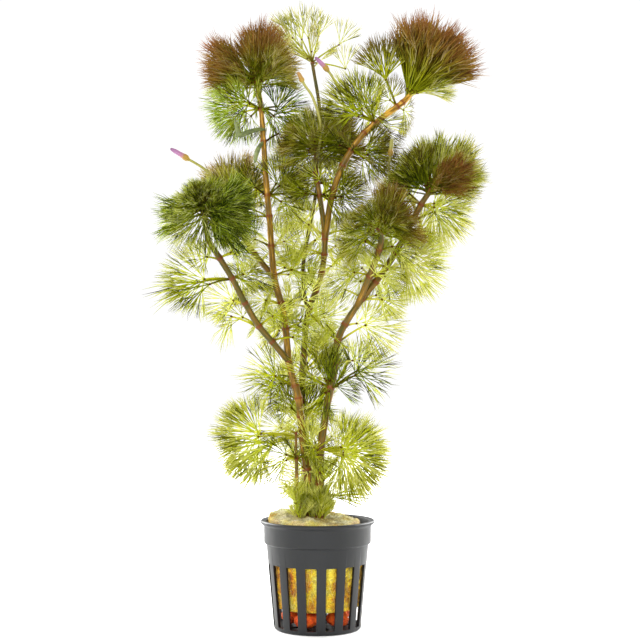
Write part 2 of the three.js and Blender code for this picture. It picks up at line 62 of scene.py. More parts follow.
# The pot
# Black polypropylene, injection moulded in one thin piece that flexes in the hand. It tapers to its foot and
# has a wide band under a rolled lip. Water and roots pass through 15 slots in its wall and 5 in its floor.
MM = 0.001
POT_PROFILE = [
    (0, 0), (17.8, 0), (18.3, 0.15), (18.9, 0.6), (19.05, 1), (22.3, 36.2), (22.5, 36.9), (23.2, 37.35),
    (23.45, 37.8), (23.55, 44.6), (23.9, 45.3), (24.7, 45.75), (25, 46.2), (25, 46.85), (24.7, 47.2),
    (23.2, 47.2), (22.5, 46.8), (22.35, 46), (22.35, 38), (21.3, 36.6), (17.9, 1.6), (17.6, 1.4), (0, 1.4),
]
POT_TURNS = 180
SLOTS = 15
FIRST_SLOT = math.radians(-97.5)
SLOT_LOW, SLOT_HIGH = 1.9, 28.8
SLOT_NARROW, SLOT_WIDE = 4.1, 4.9
SLOT_CORNER = 0.5
SLOT_FROM, SLOT_TO = 13, 27
DRAINS = 5
DRAIN_MIDDLE, DRAIN_LONG, DRAIN_ACROSS = 10, 8, 2.4
DRAIN_LOW, DRAIN_HIGH = -2, 1.7
SOFT_EDGE = 0.18


def add_piece(name, corners, faces, material, values=None):
    """A smooth mesh from corners in millimetres, with the numbers that its material reads at each corner."""
    mesh = bpy.data.meshes.new(name)
    mesh.from_pydata((np.asarray(corners, float) * MM).tolist(), [], [list(map(int, face)) for face in faces])
    for label, numbers in (values or {}).items():
        plain = np.ndim(numbers) == 1
        layer = mesh.attributes.new(label, "FLOAT" if plain else "FLOAT_VECTOR", "POINT")
        layer.data.foreach_set("value" if plain else "vector", np.asarray(numbers, np.float32).ravel())
    mesh.materials.append(material)
    mesh.shade_smooth()
    piece = bpy.data.objects.new(name, mesh)
    bpy.context.scene.collection.objects.link(piece)
    return piece


def paint(code):
    """An sRGB colour such as #aabbcc as the linear colour that a shader takes."""
    shares = [int(code[i : i + 2], 16) / 255 for i in (1, 3, 5)]
    return [c / 12.92 if c <= 0.04045 else ((c + 0.055) / 1.055) ** 2.4 for c in shares] + [1.0]


def fill_sockets(material, node, sockets):
    """Gives a node's sockets their values, and links those whose value is another node's socket."""
    for label, value in sockets.items():
        if isinstance(value, bpy.types.NodeSocket):
            material.node_tree.links.new(value, node.inputs[label])
        else:
            node.inputs[label].default_value = value


def add_node(material, kind, sockets=None, settings=None, stops=()):
    """Adds a node to a material: its settings, its sockets as values or links, and a colour ramp's stops."""
    node = material.node_tree.nodes.new("ShaderNode" + kind)
    for label, value in (settings or {}).items():
        setattr(node, label, value)
    fill_sockets(material, node, sockets or {})
    for place, (position, code) in enumerate(stops):
        elements = node.color_ramp.elements
        stop = elements[place] if place < 2 else elements.new(position)
        stop.position = position
        stop.color = paint(code)
    return node


def add_material(name):
    """A new material and the principled shader in it."""
    material = bpy.data.materials.new(name)
    material.use_nodes = True
    return material, material.node_tree.nodes["Principled BSDF"]


def moulded_polypropylene():
    """Satin black plastic: a soft broad sheen, slightly clouded where the melt flowed up the wall."""
    material, shader = add_material("moulded polypropylene")
    place = add_node(material, "TexCoord").outputs["Object"]
    flow = add_node(material, "Mapping", {"Vector": place, "Scale": (1, 1, 0.35)}).outputs["Vector"]
    clouds = add_node(
        material, "TexNoise", {"Vector": flow, "Scale": 1 / (7 * MM), "Detail": 4, "Roughness": 0.6},
    )
    grain = add_node(material, "TexNoise", {"Vector": place, "Scale": 1 / (0.6 * MM), "Detail": 3})
    colour = add_node(
        material, "ValToRGB", {"Fac": clouds.outputs["Fac"]},
        stops=[(0.3, "#080a0c"), (0.7, "#0f1114")],
    )
    sheen = add_node(
        material, "MapRange",
        {"Value": clouds.outputs["Fac"], "From Min": 0.3, "From Max": 0.7, "To Min": 0.36, "To Max": 0.52},
    )
    bump = add_node(
        material, "Bump", {"Height": grain.outputs["Fac"], "Strength": 0.12, "Distance": 0.05 * MM},
    )
    fill_sockets(material, shader, {
        "Base Color": colour.outputs["Color"], "Roughness": sheen.outputs["Result"],
        "Normal": bump.outputs["Normal"], "IOR": 1.49, "Specular IOR Level": 0.4,
    })
    return material


def angles_round(count):
    """Even angles round a circle."""
    return 2 * math.pi * np.arange(count) / count


def turned(profile, turns):
    """The closed skin of a profile turned round the Z axis, where it starts and ends on the axis."""
    corners, faces = [(0, 0, profile[0][1])], []
    for angle in angles_round(turns):
        corners += [(r * math.cos(angle), r * math.sin(angle), z) for r, z in profile[1:-1]]
    corners.append((0, 0, profile[-1][1]))
    rows = len(profile) - 2
    for step in range(turns):
        here, there = 1 + step * rows, 1 + (step + 1) % turns * rows
        faces.append((0, there, here))
        faces += [(here + k, there + k, there + k + 1, here + k + 1) for k in range(rows - 1)]
        faces.append((here + rows - 1, there + rows - 1, len(corners) - 1))
    return corners, faces


def prism(outline, near, far, angle):
    """The outline of a slot, pushed outwards from one radius to another at an angle round the pot."""
    count = len(outline)
    turn = (math.cos(angle), math.sin(angle))
    corners = [
        (r * turn[0] - x * turn[1], r * turn[1] + x * turn[0], z) for r in (near, far) for x, z in outline
    ]
    faces = [tuple(range(count))[::-1], tuple(range(count, 2 * count))]
    faces += [(k, (k + 1) % count, (k + 1) % count + count, k + count) for k in range(count)]
    return corners, faces


def rounded(outline, radius, steps=4):
    """An outline with its corners cut back and rounded."""
    result = []
    for k, corner in enumerate(outline):
        corner = np.array(corner, float)
        before, after = (np.array(outline[(k + side) % len(outline)], float) - corner for side in (-1, 1))
        start = corner + before / np.linalg.norm(before) * radius
        end = corner + after / np.linalg.norm(after) * radius
        for step in range(steps + 1):
            share = step / steps
            result.append(tuple((1 - share) ** 2 * start + 2 * share * (1 - share) * corner + share**2 * end))
    return result


def joined(parts):
    """Several (corners, faces) meshes as one."""
    corners, faces = [], []
    for more_corners, more_faces in parts:
        faces += [tuple(i + len(corners) for i in face) for face in more_faces]
        corners += list(more_corners)
    return corners, faces


slot_outline = rounded(
    [
        (-SLOT_NARROW / 2, SLOT_LOW), (SLOT_NARROW / 2, SLOT_LOW),
        (SLOT_WIDE / 2, SLOT_HIGH), (-SLOT_WIDE / 2, SLOT_HIGH),
    ],
    SLOT_CORNER,
)
polypropylene = moulded_polypropylene()
pot = add_piece("nursery_pot", *turned(POT_PROFILE, POT_TURNS), polypropylene)
slot_tools = [prism(slot_outline, SLOT_FROM, SLOT_TO, FIRST_SLOT + turn) for turn in angles_round(SLOTS)]
half = DRAIN_ACROSS / 2
drain_outline = [(-half, DRAIN_LOW), (half, DRAIN_LOW), (half, DRAIN_HIGH), (-half, DRAIN_HIGH)]
drain_ends = (DRAIN_MIDDLE - DRAIN_LONG / 2, DRAIN_MIDDLE + DRAIN_LONG / 2)
slot_tools += [prism(drain_outline, *drain_ends, turn) for turn in angles_round(DRAINS)]
slot_cutter = add_piece("slot cutter", *joined(slot_tools), polypropylene)
cut = pot.modifiers.new("slots", "BOOLEAN")
cut.operation = "DIFFERENCE"
cut.object = slot_cutter
cut.solver = "EXACT"
soften = pot.modifiers.new("softened edges", "BEVEL")
soften.width = SOFT_EDGE * MM
soften.segments = 2
soften.limit_method = "ANGLE"
soften.angle_limit = math.radians(50)
finished = bpy.data.meshes.new_from_object(pot.evaluated_get(bpy.context.evaluated_depsgraph_get()))
pot.modifiers.clear()
pot.data = finished
pot.data.shade_smooth()
pot.data.set_sharp_from_angle(angle=math.radians(35))
bpy.data.objects.remove(slot_cutter)
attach(pot, "root")
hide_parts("pot")

# Clay pellets
# Expanded clay, rolled into pellets and baked until the skin is orange-red. They lie on the pot's floor under
# the wool, and a few show through the bottoms of the slots.
PELLETS = 5
PELLET_DETAIL = 4
PELLET_R, PELLET_LUMP = 6, 5
PELLET_DENTS = 0.7


def baked_clay():
    """Baked clay: a dry matt pitted skin, blotched from dark red-brown to bright orange."""
    material, shader = add_material("baked clay")
    place = add_node(material, "TexCoord").outputs["Object"]
    blotches = add_node(material, "TexNoise", {"Vector": place, "Scale": 1 / (3 * MM), "Detail": 6})
    pits = add_node(material, "TexVoronoi", {"Vector": place, "Scale": 1 / (0.7 * MM)})
    colour = add_node(
        material, "ValToRGB", {"Fac": blotches.outputs["Fac"]},
        stops=[(0.3, "#8a2804"), (0.62, "#fa7414"), (0.48, "#e45208")],
    )
    bump = add_node(
        material, "Bump", {"Height": pits.outputs["Distance"], "Strength": 0.6, "Distance": 0.2 * MM},
    )
    fill_sockets(material, shader, {
        "Base Color": colour.outputs["Color"], "Normal": bump.outputs["Normal"], "Roughness": 0.85,
    })
    return material


def wrinkle(points, size, seed):
    """Smooth random numbers from about -1 to 1 at points, with lumps of a given size in millimetres."""
    chance = np.random.default_rng(seed)
    total = np.zeros(len(points))
    for octave in (1, 2, 4):
        waves = chance.normal(size=(6, 3)) * octave * 2.5 / size
        shifts = chance.uniform(0, 2 * math.pi, 6)
        total += np.sin(points @ waves.T + shifts).sum(axis=1) / (3 * octave)
    return total


clay = baked_clay()
for number in range(1, PELLETS + 1):
    node = f"clay_pellet_{number}"
    low, high = (np.array(corner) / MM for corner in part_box(node))
    bpy.ops.mesh.primitive_ico_sphere_add(subdivisions=PELLET_DETAIL, radius=1)
    ball = bpy.context.object
    ball_corners = np.array([v.co for v in ball.data.vertices])
    ball_faces = [tuple(p.vertices) for p in ball.data.polygons]
    bpy.data.objects.remove(ball)
    lumps = wrinkle(ball_corners * PELLET_R, PELLET_LUMP, number)[:, None]
    dents = ball_corners * PELLET_DENTS * (1 + lumps) / 2
    corners = ball_corners * (high - low) / 2 + (low + high) / 2 - dents
    pellet = add_piece(f"baked_pellet_{number}", corners, ball_faces, clay)
    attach(pellet, "root")
    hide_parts(node)

# Mineral wool
# Spun rock fibre pressed round the stems' feet, ochre from iron and algae. It fills the pot down to the
# pellets, stands proud at the back left and leaves a gap at the lip on the right.
WOOL_ROWS = [
    (9.4, 6, 0.6, 0), (9, 15, 0.4, 0), (9.8, 17.9, 0.2, 0), (20, 18.9, 0, 0), (35, 20.6, 0, 0),
    (39.5, 20.4, -0.8, 0.5), (44, 20.2, -1.2, 0.8), (47.4, 19.8, -1.6, 1.3), (48.3, 19, -1.9, 1.6),
    (48.7, 15, -2.2, 1.7), (48.9, 7, -2.4, 0.8),
]
WOOL_TURNS = 144
WOOL_STEP = 0.6
WOOL_HIGH_SIDE = math.radians(150)
WOOL_FIBRES = 2800
WOOL_FIBRE = (2.2, 6.5)
WOOL_FIBRE_R = 0.075
WOOL_R, WOOL_TURN_R = 20, 19  # for how far a fibre stands off and runs round
WOOL_LENGTH = 60  # about how long the line through the rows above is
WOOL_TOP = 0.75  # the share of that length at which the top starts
WOOL_UPWARDS = (0.7, 0.15)  # the share from which its lumps turn upwards, and the share that this takes
WOOL_LUMPS = ((7, 3, 0.5), (1.6, 4, 0.42))  # size, seed and depth
FIBRES_FROM, FIBRE_ENDS_FROM = 0.12, 0.1
FIBRE_SLANT, FIBRE_SWAY = 0.5, 0.006
FIBRE_OFF = (-0.2, 0.55)
FIBRE_TONES = (0, 0.4)


def spun_rock_wool():
    """Rock wool stained by nutrients: matt tangled fibre, straw yellow to ochre with rust-brown runs, and
    painted shade in the gaps between its fibres.
    """
    material, shader = add_material("spun rock wool")
    place = add_node(material, "TexCoord").outputs["Object"]
    runs = add_node(material, "Mapping", {"Vector": place, "Scale": (1, 1, 0.6)}).outputs["Vector"]
    stains = add_node(
        material, "TexNoise", {"Vector": runs, "Scale": 1 / (6 * MM), "Detail": 5, "Roughness": 0.62},
    )
    algae = add_node(material, "TexNoise", {"Vector": place, "Scale": 1 / (10 * MM), "Detail": 3})
    fluff = add_node(material, "TexNoise", {"Vector": place, "Scale": 1 / (0.5 * MM), "Detail": 4})
    tone, top = (
        add_node(material, "Attribute", settings={"attribute_name": label}).outputs["Fac"]
        for label in ("tone", "top")
    )
    ochre = add_node(
        material, "ValToRGB", {"Fac": stains.outputs["Fac"]},
        stops=[(0.34, "#96500c"), (0.7, "#e2da92"), (0.43, "#ca9216"), (0.5, "#d8b824"), (0.6, "#d8ca44")],
    )
    green = add_node(
        material, "ValToRGB", {"Fac": algae.outputs["Fac"]},
        stops=[(0.36, "#d2d4bc"), (0.62, "#a08a30"), (0.5, "#bab88a")],
    )
    bleached = add_node(material, "Math", {0: top, 1: 0.8}, {"operation": "MULTIPLY"}).outputs["Value"]
    # Painted shade: the colour is darkened where the fine fluff is low, in the gaps between the fibres.
    painted_gap_shade = add_node(
        material, "ValToRGB", {"Fac": fluff.outputs["Fac"]}, stops=[(0.4, "#84703c"), (0.58, "#ffffff")],
    )
    colour = ochre.outputs["Color"]
    for share, other, blend in (
        (bleached, green.outputs["Color"], "MIX"),
        (0.55, painted_gap_shade.outputs["Color"], "MULTIPLY"),
        (tone, paint("#efe6b4"), "MIX"),
    ):
        mix = {"data_type": "RGBA", "blend_type": blend}
        colour = add_node(material, "Mix", {"Factor": share, 6: colour, 7: other}, mix).outputs[2]
    bump = add_node(material, "Bump", {"Height": fluff.outputs["Fac"], "Strength": 0.9, "Distance": 0.4 * MM})
    fill_sockets(material, shader, {
        "Base Color": colour, "Normal": bump.outputs["Normal"], "Roughness": 0.95,
    })
    return material


def tube_faces(rings, sides):
    """The faces of a closed tube, whose corners come ring after ring."""
    ring = np.arange(sides)
    quads = np.stack([ring, np.roll(ring, -1), np.roll(ring, -1) + sides, ring + sides], axis=1)
    walls = [tuple(row) for start in range(rings - 1) for row in quads + start * sides]
    return walls + [tuple(ring[::-1]), tuple(ring + (rings - 1) * sides)]


def tube(path, radii, sides, flat=1.0):
    """A closed tube through points, with a radius at each, and flattened where flat is under 1."""
    path = np.asarray(path, float)
    radii = np.broadcast_to(np.asarray(radii, float), len(path))
    runs = np.gradient(path, axis=0)
    runs /= np.linalg.norm(runs, axis=1)[:, None]
    side = np.cross(runs[0], (0, 1, 0) if abs(runs[0][1]) < 0.9 else (1, 0, 0))
    turns = angles_round(sides)
    corners = []
    for point, run, radius in zip(path, runs, radii):
        side = side - run * (side @ run)
        side /= np.linalg.norm(side)
        other = np.cross(run, side) * flat
        corners.append(point + radius * (np.outer(np.cos(turns), side) + np.outer(np.sin(turns), other)))
    return np.concatenate(corners), tube_faces(len(path), sides)


def travelled_at(points):
    """How far along the line through points each of them lies."""
    return np.concatenate([[0], np.cumsum(np.linalg.norm(np.diff(points, axis=0), axis=1))])


def wool_surface(angles, shares):
    """Points on the wool's skin, at angles round it and shares from 0 at its underside to 1 at its top."""
    rows = np.array(WOOL_ROWS)
    lengths = travelled_at(rows[:, :2])
    z, radius, shift, rise = (np.interp(shares * lengths[-1], lengths, column) for column in rows.T)
    lift = rise * np.cos(angles - WOOL_HIGH_SIDE)
    return np.stack([shift + radius * np.cos(angles), radius * np.sin(angles), z + lift], axis=1)


chance = np.random.default_rng(5)
rings = round(WOOL_LENGTH / WOOL_STEP) + 1
angle_grid, share_grid = np.meshgrid(angles_round(WOOL_TURNS), np.linspace(0, 1, rings))
wool_points = wool_surface(angle_grid.ravel(), share_grid.ravel())
outwards = wool_points * (1, 1, 0) / np.linalg.norm(wool_points[:, :2], axis=1)[:, None]
upwards = np.clip((share_grid.ravel() - WOOL_UPWARDS[0]) / WOOL_UPWARDS[1], 0, 1)[:, None]
swell = sum(depth * wrinkle(wool_points, size, seed)[:, None] for size, seed, depth in WOOL_LUMPS)
wool_points += (outwards * (1 - upwards) + np.array((0, 0, 1)) * upwards) * swell
wool_parts = [(wool_points, tube_faces(rings, WOOL_TURNS))]
wool_tones = [np.zeros(len(wool_points))]
wool_tops = [upwards.ravel()]
for _ in range(WOOL_FIBRES):
    angle, share = chance.uniform(0, 2 * math.pi), chance.uniform(FIBRES_FROM, 1)
    length = chance.uniform(*WOOL_FIBRE)
    along = chance.normal(0, FIBRE_SLANT) if share < WOOL_TOP else chance.uniform(-math.pi, math.pi)
    reach = np.linspace(-0.5, 0.5, 3) * length
    turn = angle + reach * math.sin(along) / WOOL_TURN_R + chance.normal(0, FIBRE_SWAY, 3)
    rise = share + reach * math.cos(along) / WOOL_LENGTH
    path = wool_surface(turn, np.clip(rise, FIBRE_ENDS_FROM, 1))
    outwards = path * (1, 1, 0) / WOOL_R if share < WOOL_TOP else np.array((0, 0, 1))
    path += outwards * chance.uniform(*FIBRE_OFF)
    part = tube(path, WOOL_FIBRE_R, 3)
    wool_parts.append(part)
    wool_tones.append(np.full(len(part[0]), chance.uniform(*FIBRE_TONES)))
    wool_tops.append(np.full(len(part[0]), float(share > WOOL_TOP)))
wool = add_piece(
    "rock_wool", *joined(wool_parts), spun_rock_wool(),
    {"tone": np.concatenate(wool_tones), "top": np.concatenate(wool_tops)},
)
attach(wool, "root")
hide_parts("wool_plug")

# Stems
# Nine soft green stems run up through the plant. Four are pressed into the wool, and the other five have
# grown out of those. Their skins are made after the leaves, because a stem is thicker where leaves grow.
STEMS = {  # radius at the root and the tip, amber at the root and the tip, then the points it runs through
    "stem_left": (1.8, 1.2, 0.6, 0.7, [
        (-2.9, -2, 36), (-4.3, -3, 65), (-6.6, -4, 83.9), (-8.3, -4, 100.5), (-12.5, -3, 116.4),
        (-14.7, -1, 136.9), (-19.2, 1, 154.6), (-21.4, 3, 180.8), (-23.1, 4, 199.9), (-25.1, 5, 228),
        (-27.2, 6, 241.5),
    ]),
    "stem_left_side": (1.4, 1.2, 0.3, 0.4, [
        (-12.5, -3, 116.4), (-18.5, -7, 123.7), (-25.4, -11, 131.9), (-31.1, -15, 141.6), (-36.5, -18, 152.1),
        (-41.6, -21, 160.5), (-46.2, -25, 168.6), (-47.6, -31, 180),
    ]),
    "stem_left_back": (1.4, 1.1, 0.4, 0.4, [
        (-19, 1, 153.5), (-23.6, 5, 158.8), (-28.1, 10, 164.5), (-31.3, 14, 169.3), (-35.2, 20, 179.8),
        (-37.6, 23, 187),
    ]),
    "stem_middle": (1.6, 1.2, 0.45, 0.45, [
        (-1.6, 5, 36), (-3.3, 6, 59.3), (-6, 7, 85.9), (-6.9, 8, 103.7), (-5.8, 8, 124.9), (-4, 7, 138.9),
        (1.5, 5, 154.4), (3.3, 3, 170.8), (1, 3, 189.8), (-0.8, 5, 200.2), (-0.2, 8, 212),
    ]),
    "stem_middle_right": (1.5, 1.3, 0.45, 1, [
        (3.3, 3, 170.8), (6.4, 0, 189.3), (11.8, -2, 204), (19.8, -2, 216.1), (27.8, -1, 223.4),
        (37.9, 1, 231.3), (41.4, 2.5, 235.4),
    ]),
    "stem_middle_back": (1, 0.9, 0.2, 0.3, [
        (-4, 7, 138.9), (-6.5, 11, 150.7), (-5.9, 15, 164.9), (-2.1, 20, 185.3), (1.2, 25, 208.8),
        (1, 29, 232.4), (-2.5, 31, 255.5),
    ]),
    "stem_right": (1.8, 1.2, 0.5, 0.45, [
        (0.6, -3, 36), (1.1, -4, 73), (3.6, -5, 93.6), (7.2, -6, 112.3), (9.3, -7, 127.1), (17.4, -9, 141),
        (28.3, -11, 155.1), (36.5, -13, 168.4), (44, -15, 183), (49, -17, 190.5),
    ]),
    "stem_right_side": (1.4, 1.2, 0.5, 0.4, [
        (17.1, -9, 140.5), (22.4, -15, 153.2), (25.7, -20, 162.2), (27, -23, 168), (25.8, -27, 173),
    ]),
    "stem_short": (1, 0.45, 0.6, 0.5, [(-7.2, -7, 36.7), (-8.8, -8, 63.7), (-9.2, -9, 79.9), (-9.3, -9, 86)]),
}
# Joints that bear no leaves now, by their places along the stem
BARE_JOINTS = {"stem_middle_right": [1.9, 4.97], "stem_middle": [5.6, 7], "stem_left": [4, 6]}


def run_through(points, shares):
    """Places on the smooth curve through points, at numbers from 0 for the first point upwards."""
    points = np.array(points, float)
    points = np.concatenate([[2 * points[0] - points[1]], points, [2 * points[-1] - points[-2]]])
    shares = np.atleast_1d(np.asarray(shares, float))
    first = np.clip(shares.astype(int), 0, len(points) - 4)
    t = (shares - first)[:, None]
    a, b, c, d = (points[first + k] for k in range(4))
    return 0.5 * (2 * b + (c - a) * t + (2 * a - 5 * b + 4 * c - d) * t**2 + (3 * b - a - 3 * c + d) * t**3)
